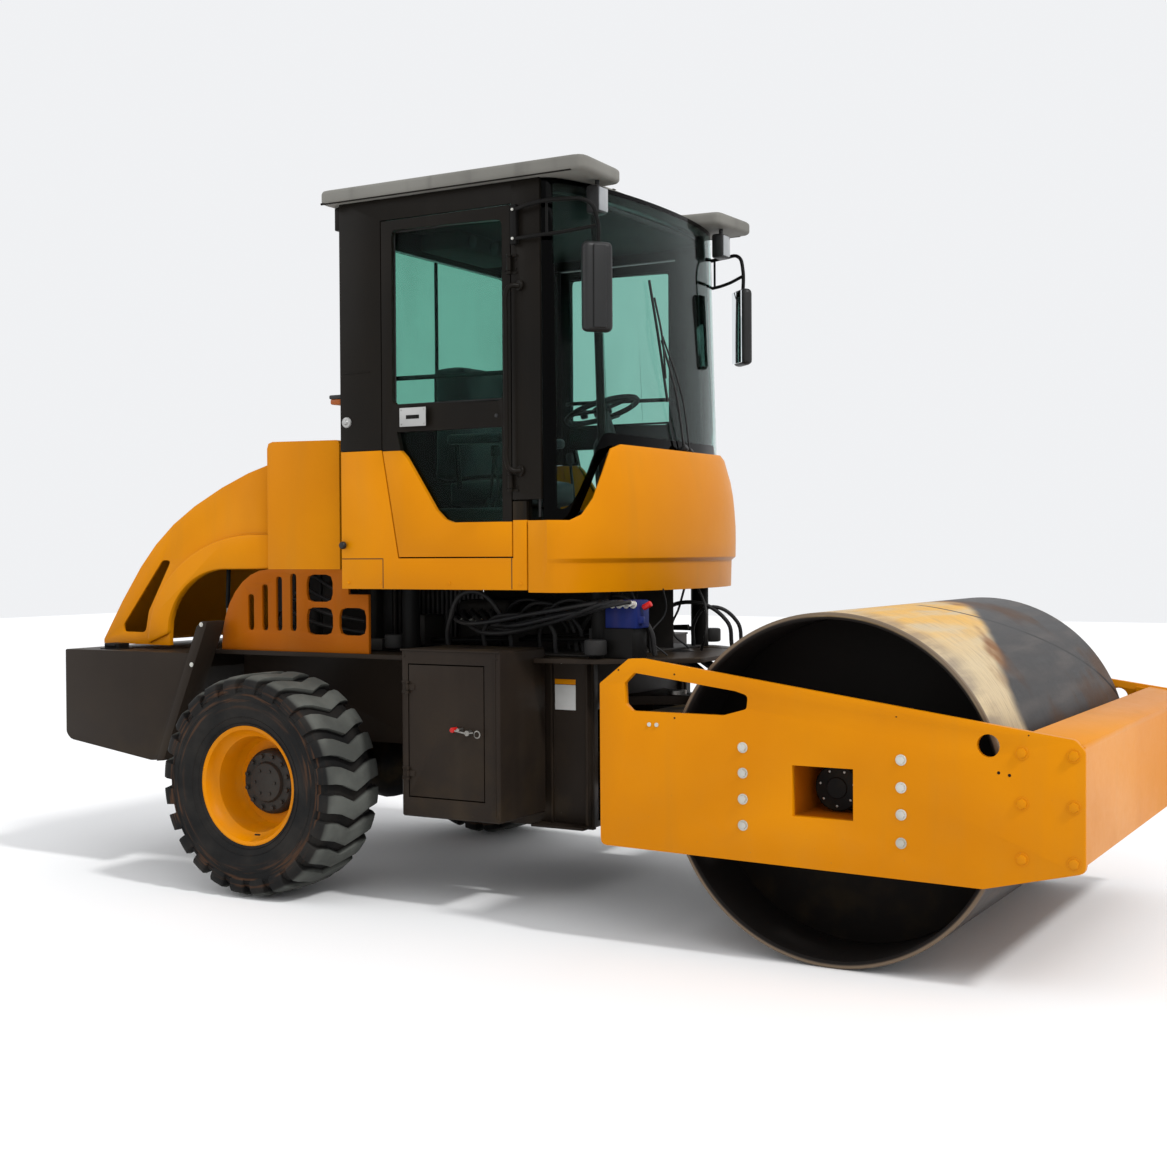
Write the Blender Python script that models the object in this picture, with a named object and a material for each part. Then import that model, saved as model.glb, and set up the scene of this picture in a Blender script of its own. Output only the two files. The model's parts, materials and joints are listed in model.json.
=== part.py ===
"""Single-drum road roller, in metres: +X is the way it drives drum first, +Z is up.

Sizes along X are measured from the drum's axis, sizes along Z from the ground.
The last step shifts the whole machine so that its origin is under its middle.
"""

import math

import bmesh
import bpy
from mathutils import Matrix, Vector

# Driving dimensions
DRUM_RADIUS = 0.700
DRUM_WIDTH = 2.130
DRUM_WALL = 0.028
WHEELBASE = 2.910
TYRE_RADIUS = 0.535
TYRE_WIDTH = 0.410
TRACK = 2.000  # between the middles of the two tyres
RIM_RADIUS = 0.285
CAB_WIDTH = 1.700
CAB_REAR = -2.580
CAB_BASE = 1.470
CAB_TOP = 3.318
REAR_WALL = 0.040
REAR_WINDOW = (0.620, 2.300, 3.160)  # half width, low, high
ROOF_THICKNESS = 0.066
ROOF_WIDTH = 1.810
HOOD_WIDTH = 1.400
COWL_WIDTH = 1.500
TANK_WIDTH = 1.800
TANK_REAR = -4.420
FRAME_WIDTH = 1.000  # outside the chassis side plates
DECK_TOP = 1.150
PIVOT_X = -1.200  # steering pivot
BOX_WIDTH = 0.400  # across the machine
BOX_STAND = 0.050  # between the chassis and the toolbox
BOX_OUTER = FRAME_WIDTH / 2 + BOX_STAND + BOX_WIDTH
SEAT_WIDTH = 0.500
WHEEL_DIAMETER = 0.390  # steering wheel

# Walls and clearances
TOUCH = 0.0003
RUNNING = 0.0005
DOOR_GAP = 0.006
SIDE_PLATE = 0.030
FRAME_PLATE = 0.028
SHEET = 0.006
GLASS = 0.006
PANEL = 0.020
HOOD_WALL = 0.012
DRUM_SIDE_GAP = 0.045

# Outline of the drum frame's side plates, rear to front over the top, as (x, z)
PLATE_REAR = -0.990
PLATE_FRONT = 1.003
PLATE_OUTLINE = (
    (PLATE_REAR, 0.415, 0.030),
    (PLATE_REAR, 1.092, 0.010),
    (-0.853, 1.198, 0.020),
    (-0.790, 1.200, 0.010),
    (0.966, 0.956, 0.030),
    (PLATE_FRONT, 0.915, 0.030),
    (PLATE_FRONT, 0.478, 0.030),
    (0.630, 0.387, 0.050),
)
PLATE_SLOT = (
    (-0.872, 1.096, 0.012),
    (-0.827, 1.141, 0.012),
    (-0.369, 1.082, 0.020),
    (-0.314, 1.066, 0.020),
    (-0.320, 1.012, 0.015),
    (-0.425, 0.982, 0.015),
    (-0.837, 0.981, 0.020),
    (-0.868, 1.010, 0.015),
)
WINDOW_HALF = 0.126  # of the square window at the drum's hub
WINDOW_RISE = 0.100
LIFT_HOLE = (0.651, 0.919, 0.043)  # x, z, radius

# The drum's heads and the hubs that carry them
HEAD_DEPTH = 0.330
HEAD_PLATE = 0.030
STUB_RADIUS = 0.060
STUB_LENGTH = 0.090
HUB_GAP = 0.020  # between the drum's head and the hub
HUB_RADIUS = 0.190
HUB_DISC = 0.045

# Steering pivot and cylinders
HITCH_HALF = 0.110
HITCH_LOW = 0.560
HITCH_HIGH = 0.900
HITCH_RADIUS = 0.120
PIN_RADIUS = 0.045
LUG = 0.040
LUG_GAP = 0.008
STEER_Z = 0.640
STEER_EYE = (0.130, 0.340)  # forward of and beside the pivot
STEER_BASE = (-0.800, 0.220)
EYE_HALF = 0.020
EYE_RADIUS = 0.040
EAR_GAP = 0.006
EAR = 0.020
BARREL_RADIUS = 0.042
BARREL_LENGTH = 0.620
ROD_RADIUS = 0.0225
CYLINDER_PIN = 0.014

# Rear frame, wheels and axle
FRAME_LOW = 0.690
FRAME_NOSE_LOW = 0.345
FRAME_FRONT = -1.390
FRAME_REAR = -3.520
STEP_X = -2.200
HUB_FACE = 0.150
HUB_BACK = 0.170  # from the tyre's middle to the axle's flange

# Hood, cowl and grilles
HOOD_FRONT = -3.142
HOOD_FOOT = 1.160
HOOD_AXIS = 2.120
COWL_FRONT = -2.670
COWL_REAR = -3.130
GRILLE_TOP = 1.563

# Toolboxes
CASE_REAR = -2.157
CASE_FRONT = -1.614
CASE_LOW = 0.420
CASE_HIGH = 1.195
CASE_DOOR = (-2.112, 0.516, -1.700, 1.124)  # rear, low, front, high
CASE_DOOR_THICK = 0.016

# Doors of the cab
DOOR_REAR = -2.330
DOOR_FRONT = -1.606
DOOR_TOP = 3.210
DOOR_BELT = 2.125
DOOR_FOOT = 1.622
DOOR_GLASS_FOOT = 1.782
DOOR_DEPTH = 0.035

# The cab's front: one plan curve, from door pillar to door pillar, carries the glass and the nose
FRONT_POST = -1.450  # front edge of the door pillar
GLASS_FRONT = -1.200  # middle of the windshield at the cowl
GLASS_TOP_FRONT = -1.265
GLASS_HALF = CAB_WIDTH / 2 - 0.012
SCREEN_HALF = 0.560  # half-width of the windshield
POST_RADIUS = 0.020
COWL_TOP = 2.145
NOSE_SIDE_TOP = 1.785
NOSE_WALL = 0.010
NOSE_STAND = 0.012  # outside the glass at the door pillars
NOSE_BACK = FRONT_POST - 0.070
NOSE_SWELL = (  # height, and how far the nose stands out in front of the glass
    (1.460, 0.066), (1.595, 0.070), (1.612, 0.092), (1.750, 0.094),
    (1.900, 0.084), (2.040, 0.058), (2.120, 0.036), (2.145, 0.026),
)

# Hinges: half height, knuckle radius, pin radius, and how far the axis stands off the skin
DOOR_HINGE = (0.045, 0.012, 0.006, 0.014)
BOX_HINGE = (0.030, 0.008, 0.004, 0.010)
HOOD_HINGE = (0.045, 0.010, 0.005)
DOOR_HINGE_HEIGHTS = (1.960, 2.940)
BOX_HINGE_HEIGHTS = (0.620, 1.020)
HOOD_HINGE_Y = 0.500

COLOURS = {
    "yellow": ((0.83, 0.45, 0.02), 0.35, 0.0),
    "orange": ((0.80, 0.33, 0.02), 0.40, 0.0),
    "brown": ((0.10, 0.09, 0.08), 0.45, 0.2),
    "black": ((0.02, 0.02, 0.02), 0.50, 0.0),
    "cab_brown": ((0.045, 0.038, 0.034), 0.40, 0.1),
    "grey": ((0.42, 0.42, 0.38), 0.45, 0.2),
    "glass": ((0.35, 0.55, 0.52), 0.05, 0.0),
    "rubber": ((0.03, 0.03, 0.03), 0.85, 0.0),
    "steel": ((0.16, 0.15, 0.14), 0.45, 0.9),
    "chrome": ((0.75, 0.75, 0.75), 0.12, 1.0),
    "seat": ((0.03, 0.03, 0.035), 0.70, 0.0),
}


def clear_scene():
    for obj in list(bpy.data.objects):
        bpy.data.objects.remove(obj, do_unlink=True)


def material(name):
    made = bpy.data.materials.get(name)
    if made:
        return made
    colour, roughness, metallic = COLOURS[name]
    made = bpy.data.materials.new(name)
    made.use_nodes = True
    shader = made.node_tree.nodes["Principled BSDF"]
    shader.inputs["Base Color"].default_value = (*colour, 1)
    shader.inputs["Roughness"].default_value = roughness
    shader.inputs["Metallic"].default_value = metallic
    return made


def add_empty(name, position, parent):
    """An empty on a joint's axis, placed under the empty of the body that carries it."""
    empty = bpy.data.objects.new(name, None)
    bpy.context.collection.objects.link(empty)
    empty["place"] = position
    if parent:
        empty.parent = parent
        empty.location = Vector(position) - Vector(parent["place"])
    else:
        empty.location = position
    return empty


def add_object(name, bm, colour, body):
    """An object whose mesh is in the machine's own coordinates, hung on its body's empty."""
    bmesh.ops.recalc_face_normals(bm, faces=bm.faces)
    mesh = bpy.data.meshes.new(name)
    bm.to_mesh(mesh)
    bm.free()
    mesh.materials.append(material(colour))
    mesh.shade_smooth()
    mesh.set_sharp_from_angle(angle=math.radians(35))
    obj = bpy.data.objects.new(name, mesh)
    bpy.context.collection.objects.link(obj)
    obj.parent = body
    obj.location = -Vector(body["place"])
    return obj


def modify(obj, other, operation):
    """A live Boolean with another object, which becomes a hidden helper."""
    other.hide_render = True
    other.display_type = "WIRE"
    step = obj.modifiers.new(operation.title() + " " + other.name, "BOOLEAN")
    step.operation = operation
    step.object = other
    step.solver = "EXACT"
    return obj


def cut(obj, *cutters):
    for cutter in cutters:
        modify(obj, cutter, "DIFFERENCE")
    return obj


def join(obj, *others):
    for other in others:
        modify(obj, other, "UNION")
    return obj


def bevel(obj, width, segments=1):
    step = obj.modifiers.new("Bevel", "BEVEL")
    step.width = width
    step.segments = segments
    step.limit_method = "ANGLE"
    step.angle_limit = math.radians(40)
    return obj


def rounded(corners, steps=3):
    """The points of a polygon whose corners (a, b, radius) are turned into arcs."""
    points = []
    count = len(corners)
    for i, (a, b, radius) in enumerate(corners):
        here = Vector((a, b))
        before = Vector(corners[i - 1][:2]) - here
        after = Vector(corners[(i + 1) % count][:2]) - here
        half = before.angle(after) / 2
        reach = min(radius / math.tan(half), before.length * 0.45, after.length * 0.45)
        start = here + before.normalized() * reach
        end = here + after.normalized() * reach
        for k in range(steps + 1):
            t = k / steps
            points.append(tuple(start * (1 - t) ** 2 + here * 2 * t * (1 - t) + end * t ** 2))
    return points


def arc(centre, radii, start, end, steps):
    """Points on an elliptical arc, angles in degrees."""
    points = []
    for k in range(steps + 1):
        angle = math.radians(start + (end - start) * k / steps)
        points.append((centre[0] + radii[0] * math.cos(angle), centre[1] + radii[1] * math.sin(angle)))
    return points


def prism(name, outline, low, high, colour, body, axis="y"):
    """An outline extruded along an axis: (x, z) points along Y, (x, y) along Z or (y, z) along X."""
    bm = bmesh.new()
    place = {
        "x": lambda a, b, c: (c, a, b),
        "y": lambda a, b, c: (a, c, b),
        "z": lambda a, b, c: (a, b, c),
    }[axis]
    ends = [[bm.verts.new(place(a, b, level)) for a, b in outline] for level in (low, high)]
    count = len(outline)
    bm.faces.new(ends[0])
    bm.faces.new(reversed(ends[1]))
    for i in range(count):
        j = (i + 1) % count
        bm.faces.new((ends[0][i], ends[0][j], ends[1][j], ends[1][i]))
    return add_object(name, bm, colour, body)


def side_prism(name, outline, inner, outer, side, colour, body):
    """A prism on the left (side 1) or the right (side -1), between two distances from the middle."""
    return prism(name, outline, side * inner, side * outer, colour, body)


def box(name, low, high, colour, body):
    bm = bmesh.new()
    size = Vector(high) - Vector(low)
    middle = (Vector(high) + Vector(low)) / 2
    matrix = Matrix.Translation(middle) @ Matrix.Diagonal((*[abs(s) for s in size], 1))
    bmesh.ops.create_cube(bm, size=1, matrix=matrix)
    return add_object(name, bm, colour, body)


def side_box(name, x, y, z, side, colour, body):
    return box(name, (x[0], side * y[0], z[0]), (x[1], side * y[1], z[1]), colour, body)


def rod(name, start, end, radius, colour, body, segments=16):
    """A round bar between two points."""
    bm = bmesh.new()
    start = Vector(start)
    along = Vector(end) - start
    turn = along.to_track_quat("Z", "Y").to_matrix().to_4x4()
    matrix = Matrix.Translation(start + along / 2) @ turn
    bmesh.ops.create_cone(
        bm, cap_ends=True, segments=segments, radius1=radius, radius2=radius,
        depth=along.length, matrix=matrix,
    )
    return add_object(name, bm, colour, body)


def turned(name, profile, centre, colour, body, segments, side=1):
    """A closed profile of (radius, distance along Y) turned about an axis along Y."""
    bm = bmesh.new()

    def point(radius, along, angle):
        offset = (radius * math.cos(angle), side * along, radius * math.sin(angle))
        return bm.verts.new(Vector(centre) + Vector(offset))

    tips = {i: point(0, along, 0) for i, (radius, along) in enumerate(profile) if radius == 0}
    rings = []
    for k in range(segments):
        angle = 2 * math.pi * k / segments
        rings.append([tips.get(i) or point(*pair, angle) for i, pair in enumerate(profile)])
    count = len(profile)
    for k in range(segments):
        ring, following = rings[k], rings[(k + 1) % segments]
        for i in range(count):
            j = (i + 1) % count
            corners = list(dict.fromkeys((ring[i], ring[j], following[j], following[i])))
            if len(corners) > 2:
                bm.faces.new(corners)
    return add_object(name, bm, colour, body)


def tube_path(name, points, radius, colour, body, resolution=2):
    """A bent round tube through points, with closed ends."""
    curve = bpy.data.curves.new(name, "CURVE")
    curve.dimensions = "3D"
    curve.bevel_depth = radius
    curve.bevel_resolution = resolution
    curve.use_fill_caps = True
    spline = curve.splines.new("POLY")
    spline.points.add(len(points) - 1)
    for point, place in zip(spline.points, points):
        point.co = (*place, 1)
    guide = bpy.data.objects.new(name + "_guide", curve)
    bpy.context.collection.objects.link(guide)
    bpy.context.view_layer.update()
    mesh = guide.evaluated_get(bpy.context.evaluated_depsgraph_get()).to_mesh()
    bm = bmesh.new()
    bm.from_mesh(mesh)
    bpy.data.objects.remove(guide, do_unlink=True)
    bmesh.ops.remove_doubles(bm, verts=bm.verts, dist=1e-5)
    return add_object(name, bm, colour, body)


def front_angle(y):
    return math.asin(max(-1, min(1, y / GLASS_HALF)))


def screen_point(angle, z):
    """A point of the outside of the front glass; angle 0 is its middle and 90 degrees the door pillar."""
    share = min(max((z - COWL_TOP) / (CAB_TOP - COWL_TOP), 0), 1)
    depth = GLASS_FRONT + (GLASS_TOP_FRONT - GLASS_FRONT) * share - FRONT_POST
    return Vector((FRONT_POST + depth * math.cos(angle), GLASS_HALF * math.sin(angle), z))


def screen_normal(angle, z):
    run = screen_point(angle + 0.01, z) - screen_point(angle - 0.01, z)
    return Vector((run.y, -run.x, 0)).normalized()


def offset_screen(angle, z, distance):
    return screen_point(angle, z) + screen_normal(angle, z) * distance


def cowl_height(angle):
    """The nose's top edge: high across the front, falling to the door pillar along the sides."""
    share = abs(math.sin(angle))
    low, high = 0.66, 0.95
    t = min(max((share - low) / (high - low), 0), 1)
    return COWL_TOP - (COWL_TOP - NOSE_SIDE_TOP) * t * t * (3 - 2 * t) - 0.02 * (1 - share ** 2)


def swell(z):
    for (low, first), (high, second) in zip(NOSE_SWELL, NOSE_SWELL[1:]):
        if z <= high:
            return first + (second - first) * max(z - low, 0) / (high - low)
    return NOSE_SWELL[-1][1]


def nose_point(angle, z):
    forward = screen_normal(angle, COWL_TOP).x
    return offset_screen(angle, min(z, COWL_TOP), NOSE_STAND + forward * swell(z))


def front_angles(low, high, count):
    return [low + (high - low) * k / count for k in range(count + 1)]


def skin(name, grid, thickness, colour, body):
    """A sheet through a grid of points, given its thickness inwards, towards the cab's middle."""
    inside = Vector((-2.0, 0, 2.2))
    bm = bmesh.new()
    rows, columns = len(grid), len(grid[0])
    outer = [[Vector(p) for p in row] for row in grid]
    layers = []
    for layer in (0, thickness):
        made = []
        for i in range(rows):
            line = []
            for j in range(columns):
                ahead = outer[min(i + 1, rows - 1)][j] - outer[max(i - 1, 0)][j]
                along = outer[i][min(j + 1, columns - 1)] - outer[i][max(j - 1, 0)]
                normal = ahead.cross(along).normalized()
                if normal.dot(inside - outer[i][j]) < 0:
                    normal = -normal
                normal.z = 0
                line.append(bm.verts.new(outer[i][j] + normal.normalized() * layer))
            made.append(line)
        layers.append(made)
    for made in layers:
        for i in range(rows - 1):
            for j in range(columns - 1):
                bm.faces.new((made[i][j], made[i + 1][j], made[i + 1][j + 1], made[i][j + 1]))
    edge = [(i, 0) for i in range(rows)] + [(rows - 1, j) for j in range(1, columns)]
    edge += [(i, columns - 1) for i in range(rows - 2, -1, -1)] + [(0, j) for j in range(columns - 2, 0,
                                                                                         -1)]
    for (a, b), (c, d) in zip(edge, edge[1:] + edge[:1]):
        bm.faces.new((layers[0][a][b], layers[0][c][d], layers[1][c][d], layers[1][a][b]))
    return add_object(name, bm, colour, body)


def build_drum(body):
    half = DRUM_WIDTH / 2
    inner = DRUM_RADIUS - DRUM_WALL
    centre = (0, 0, DRUM_RADIUS)
    turned(
        "drum_shell",
        [(DRUM_RADIUS, -half), (DRUM_RADIUS, half), (inner, half), (inner, -half)],
        centre, "steel", body, 96,
    )
    for side, word in ((-1, "right"), (1, "left")):
        name = word + "_drum_head"
        face = half - HEAD_DEPTH
        rim = inner - TOUCH
        turned(
            name,
            [(0, face - HEAD_PLATE), (rim, face - HEAD_PLATE), (rim, face), (STUB_RADIUS, face),
             (STUB_RADIUS, face + STUB_LENGTH), (0, face + STUB_LENGTH)],
            centre, "black", body, 48, side,
        )


def build_drum_frame(body):
    outer = DRUM_WIDTH / 2 + DRUM_SIDE_GAP + SIDE_PLATE
    inner = outer - SIDE_PLATE
    axle = DRUM_RADIUS
    outline = rounded(PLATE_OUTLINE)
    window = [(-WINDOW_HALF, axle - WINDOW_RISE), (WINDOW_HALF, axle - WINDOW_RISE),
              (WINDOW_HALF, axle + WINDOW_RISE), (-WINDOW_HALF, axle + WINDOW_RISE)]
    past = 0.05
    for side, word in ((-1, "right"), (1, "left")):
        plate = side_prism(word + "_side_plate", outline, inner, outer, side, "yellow", body)
        x, z, radius = LIFT_HOLE
        cut(
            plate,
            side_prism(word + "_slot", rounded(PLATE_SLOT), inner - past, outer + past, side, "yellow",
                       body),
            side_prism(word + "_window", window, inner - past, outer + past, side, "yellow", body),
            rod(word + "_lift_hole", (x, side * (inner - past), z), (x, side * (outer + past), z), radius,
                "yellow", body, 20),
        )
        build_hub_support(word, side, inner, body)
    front = [(0.800, 0.500), (0.985, 0.490), (0.985, 0.938), (0.950, 0.952), (0.800, 0.974)]
    flange = [(0.738, 0.470), (0.990, 0.480), (0.990, 0.905), (0.955, 0.945), (0.738, 0.972)]
    reach = inner - TOUCH
    beam = prism("front_beam", front, -reach, reach, "yellow", body)
    for side in (-1, 1):
        join(beam, side_prism("beam_flange_%+d" % side, flange, reach - 0.026, reach - 0.00001, side,
                              "yellow", body))
    rear = [(-0.975, 0.430), (-0.800, 0.430), (-0.800, 0.940), (-0.975, 0.940)]
    cross = prism("rear_beam", rear, -reach, reach, "yellow", body)
    arm = box("hitch_arm", (PIVOT_X, -HITCH_HALF, HITCH_LOW), (-0.970, HITCH_HALF, HITCH_HIGH), "yellow",
              body)
    knuckle = rod("hitch_knuckle", (PIVOT_X, 0, HITCH_LOW + 0.001), (PIVOT_X, 0, HITCH_HIGH - 0.001),
                  HITCH_RADIUS, "yellow", body, 32)
    join(cross, arm, knuckle)
    for side in (-1, 1):
        x, y, z = steer_eye(side)
        for low in (z + EYE_HALF + EAR_GAP, z - EYE_HALF - EAR_GAP - EAR):
            ear = [(-0.960, y - 0.070), (-0.960, y + 0.070), (x, y + 0.050), (x - 0.045, y + 0.020),
                   (x - 0.045, y - 0.020), (x, y - 0.050)]
            join(cross, prism("ear_%+d_%.3f" % (side, low), ear, low, low + EAR, "yellow", body, "z"))
    cut(cross, rod("hitch_bore", (PIVOT_X, 0, 0.2), (PIVOT_X, 0, 1.3), PIN_RADIUS + RUNNING, "steel", body,
                   32))


def steer_eye(side):
    return (PIVOT_X + STEER_EYE[0], side * STEER_EYE[1], STEER_Z)


def steer_base(side):
    return (PIVOT_X + STEER_BASE[0], side * STEER_BASE[1], STEER_Z)


def build_hub_support(word, side, plate_inner, body):
    """The square tunnel that carries the drum's hub, with its flange bolted inside the side plate."""
    axle = DRUM_RADIUS
    face = plate_inner - TOUCH
    flange = side_box(word + "_hub_support", (-0.390, 0.380), (face - 0.018, face),
                      (axle - 0.220, axle + 0.215),
                      side, "orange", body)
    end = DRUM_WIDTH / 2 - HEAD_DEPTH + HUB_GAP
    wall = 0.014
    half = WINDOW_HALF + wall
    tunnel = side_box(word + "_tunnel", (-half, half), (end + 0.020, face - 0.001),
                      (axle - half, axle + half),
                      side, "orange", body)
    disc = rod(word + "_hub_disc", (0, side * end, axle), (0, side * (end + HUB_DISC), axle), HUB_RADIUS,
               "black", body, 32)
    hollow = side_box(word + "_hollow", (-WINDOW_HALF, WINDOW_HALF), (end + HUB_DISC, face + 0.1),
                      (axle - WINDOW_RISE, axle + WINDOW_RISE), side, "orange", body)
    bore = rod(word + "_hub_bore", (0, side * (end - 0.1), axle), (0, side * (end + 0.2), axle),
               STUB_RADIUS + RUNNING, "orange", body, 32)
    join(flange, tunnel, disc)
    cut(flange, hollow, bore)


def build_wheels(bodies):
    """Tyre and rim of each rear wheel, in their own coordinates along Y from the tyre's middle."""
    half = TYRE_WIDTH / 2
    bead = RIM_RADIUS - 0.028
    profile = [
        (bead + 0.002, 0.135), (bead + 0.030, 0.158), (0.345, 0.196), (0.410, half), (0.470, 0.198),
        (0.508, 0.178), (0.522, 0.160),
    ]
    tread = [(TYRE_RADIUS, 0.120), (TYRE_RADIUS, -0.120)]
    mirrored = [(r, -a) for r, a in reversed(profile)]
    for side, word in ((-1, "right"), (1, "left")):
        body = bodies[word + "_wheel"]
        centre = (-WHEELBASE, side * TRACK / 2, TYRE_RADIUS)
        turned(word + "_tyre", profile + tread + mirrored, centre, "rubber", body, 48, side)
        barrel = bead + 0.002 - TOUCH
        rim = [
            (RIM_RADIUS, 0.166), (RIM_RADIUS, 0.160 + 0.0005), (barrel, 0.135), (barrel, -0.135),
            (RIM_RADIUS, -0.1605), (RIM_RADIUS, -0.166), (barrel - 0.012, -0.150), (barrel - 0.012, -0.010),
            (HUB_FACE, -0.010), (HUB_FACE, -HUB_BACK), (0, -HUB_BACK), (0, 0.075), (0.120, 0.075),
            (0.160, 0.060), (0.165, 0.012), (0.200, 0.012), (0.228, 0.050), (barrel - 0.014, 0.110),
            (RIM_RADIUS - 0.020, 0.150),
        ]
        turned(word + "_rim", rim, centre, "yellow", body, 48, side)


def build_rear_axle(body):
    """The rigid axle, turned about its own axis, with pads up to the chassis."""
    z = TYRE_RADIUS
    x = -WHEELBASE
    end = TRACK / 2 - HUB_BACK - RUNNING
    half = [(0, end), (0.140, end), (0.140, end - 0.100), (0.085, end - 0.110), (0.085, 0.230),
            (0.150, 0.170),
            (0.200, 0.070)]
    profile = half + [(r, -a) for r, a in reversed(half)]
    axle = turned("rear_axle", profile, (x, 0, z), "black", body, 24)
    for side in (-1, 1):
        y = side * (FRAME_WIDTH / 2 - FRAME_PLATE / 2)
        join(axle, box("pad_%+d" % side, (x - 0.11, y - 0.05, z - 0.03), (x + 0.11, y + 0.05,
                                                                          FRAME_LOW - TOUCH),
                       "black", body))


def build_rear_frame(body):
    """Two side plates tied by cross plates, decks beside the engine, and the lugs of the steering pivot."""
    half = FRAME_WIDTH / 2
    side_outline = [
        (FRAME_REAR, FRAME_LOW), (STEP_X - 0.15, FRAME_LOW), (STEP_X, FRAME_NOSE_LOW),
        (FRAME_FRONT, FRAME_NOSE_LOW),
        (FRAME_FRONT, DECK_TOP), (FRAME_REAR, DECK_TOP),
    ]
    frame = side_prism("rear_frame", side_outline, half - FRAME_PLATE, half, -1, "black", body)
    join(frame, side_prism("frame_left_plate", side_outline, half - FRAME_PLATE, half, 1, "black", body))
    cross = half - 0.010
    pieces = [
        box("cross_rear", (FRAME_REAR, -cross, FRAME_LOW + 0.01), (FRAME_REAR + 0.03, cross,
                                                                   DECK_TOP - 0.01),
            "black", body),
        box("cross_middle", (STEP_X, -cross, 0.80), (STEP_X + 0.03, cross, DECK_TOP - 0.01), "black", body),
        box("front_wall", (FRAME_FRONT - 0.05, -cross, 0.90), (FRAME_FRONT - 0.02, cross, DECK_TOP - 0.01),
            "black", body),
        box("bottom_plate", (STEP_X + 0.05, -cross, FRAME_NOSE_LOW + 0.002),
            (FRAME_FRONT - 0.02, cross, FRAME_NOSE_LOW + 0.030), "black", body),
    ]
    for side in (-1, 1):
        deck = [(FRAME_REAR + 0.02, COWL_WIDTH / 2 + 0.02), (-2.175, COWL_WIDTH / 2 + 0.02),
                (-2.175, 0.540),
                (-1.600, 0.540), (-1.600, 0.680), (-1.300, 0.640), (-0.900, 0.360), (-0.900, 0.300),
                (FRAME_FRONT, half - 0.018), (FRAME_REAR + 0.02, half - 0.018)]
        outline = [(x, side * y) for x, y in deck]
        pieces.append(prism("deck_%+d" % side, outline, DECK_TOP - 0.020, DECK_TOP + 0.001, "black", body,
                            "z"))
    bridge = [(FRAME_FRONT - 0.04, -0.44), (-0.905, -0.33), (-0.905, 0.33), (FRAME_FRONT - 0.04, 0.44)]
    pieces.append(prism("bridge", bridge, DECK_TOP - 0.019, DECK_TOP, "black", body, "z"))
    lug = [(FRAME_FRONT - 0.045, -0.300), (PIVOT_X - 0.060, -0.160)]
    lug += arc((PIVOT_X, 0), (HITCH_RADIUS, HITCH_RADIUS), -70, 70, 10)
    lug += [(PIVOT_X - 0.060, 0.160), (FRAME_FRONT - 0.045, 0.300)]
    low = HITCH_LOW - LUG_GAP - LUG
    high = HITCH_HIGH + LUG_GAP
    pieces.append(prism("upper_lug", lug, high, high + LUG, "black", body, "z"))
    pieces.append(prism("lower_lug", lug, low, low + LUG, "black", body, "z"))
    pieces.append(box("lower_web", (FRAME_FRONT - 0.05, -0.30, FRAME_NOSE_LOW + 0.005),
                      (FRAME_FRONT - 0.022, 0.30, low + 0.02), "black", body))
    for side in (-1, 1):
        x, y, z = steer_base(side)
        for low_z in (z + EYE_HALF + EAR_GAP, z - EYE_HALF - EAR_GAP - EAR):
            across = sorted((side * (half - 0.010), y - side * 0.040))
            pieces.append(box("base_ear_%+d_%.3f" % (side, low_z), (x - 0.040, across[0], low_z),
                              (x + 0.028, across[1], low_z + EAR), "black", body))
        reach = EYE_HALF + EAR_GAP + EAR + 0.010
        pieces.append(rod("base_pin_%+d" % side, (x, y, z - reach), (x, y, z + reach), CYLINDER_PIN,
                          "black",
                          body, 20))
    join(frame, *pieces)
    cut(frame, rod("lug_bore", (PIVOT_X, 0, low - 0.1), (PIVOT_X, 0, high + LUG + 0.05),
                   PIN_RADIUS + RUNNING,
                   "black", body, 32))
    rod("hitch_pin", (PIVOT_X, 0, low - 0.020), (PIVOT_X, 0, high + LUG + 0.020), PIN_RADIUS, "steel",
        body, 32)


def build_steering_cylinders(bodies):
    for side, word in ((-1, "right"), (1, "left")):
        base = Vector(steer_base(side))
        eye = Vector(steer_eye(side))
        along = (eye - base).normalized()
        barrel_end = base + along * BARREL_LENGTH
        body = bodies[word + "_cylinder"]
        up = Vector((0, 0, 1))
        barrel = rod(word + "_cylinder", base + along * 0.048, barrel_end, BARREL_RADIUS, "black", body, 20)
        neck = rod(word + "_barrel_neck", base + along * 0.025, base + along * 0.060, EYE_HALF - 0.002,
                   "black",
                   body, 20)
        lug = rod(word + "_barrel_eye", base - up * EYE_HALF, base + up * EYE_HALF, EYE_RADIUS, "black",
                  body, 20)
        join(barrel, neck, lug)
        bore = rod(word + "_barrel_bore", base + along * 0.066, barrel_end + along * 0.1,
                   ROD_RADIUS + RUNNING,
                   "black", body, 20)
        pin_hole = rod(word + "_pin_hole", base - up * 0.1, base + up * 0.1, CYLINDER_PIN + RUNNING,
                       "black",
                       body, 20)
        cut(barrel, bore, pin_hole)
        body = bodies[word + "_rod"]
        shaft = rod(word + "_cylinder_rod", base + along * 0.300, eye, ROD_RADIUS, "chrome", body, 20)
        end = rod(word + "_rod_eye", eye - up * EYE_HALF, eye + up * EYE_HALF, EYE_RADIUS, "chrome", body,
                  20)
        join(shaft, end)


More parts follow.
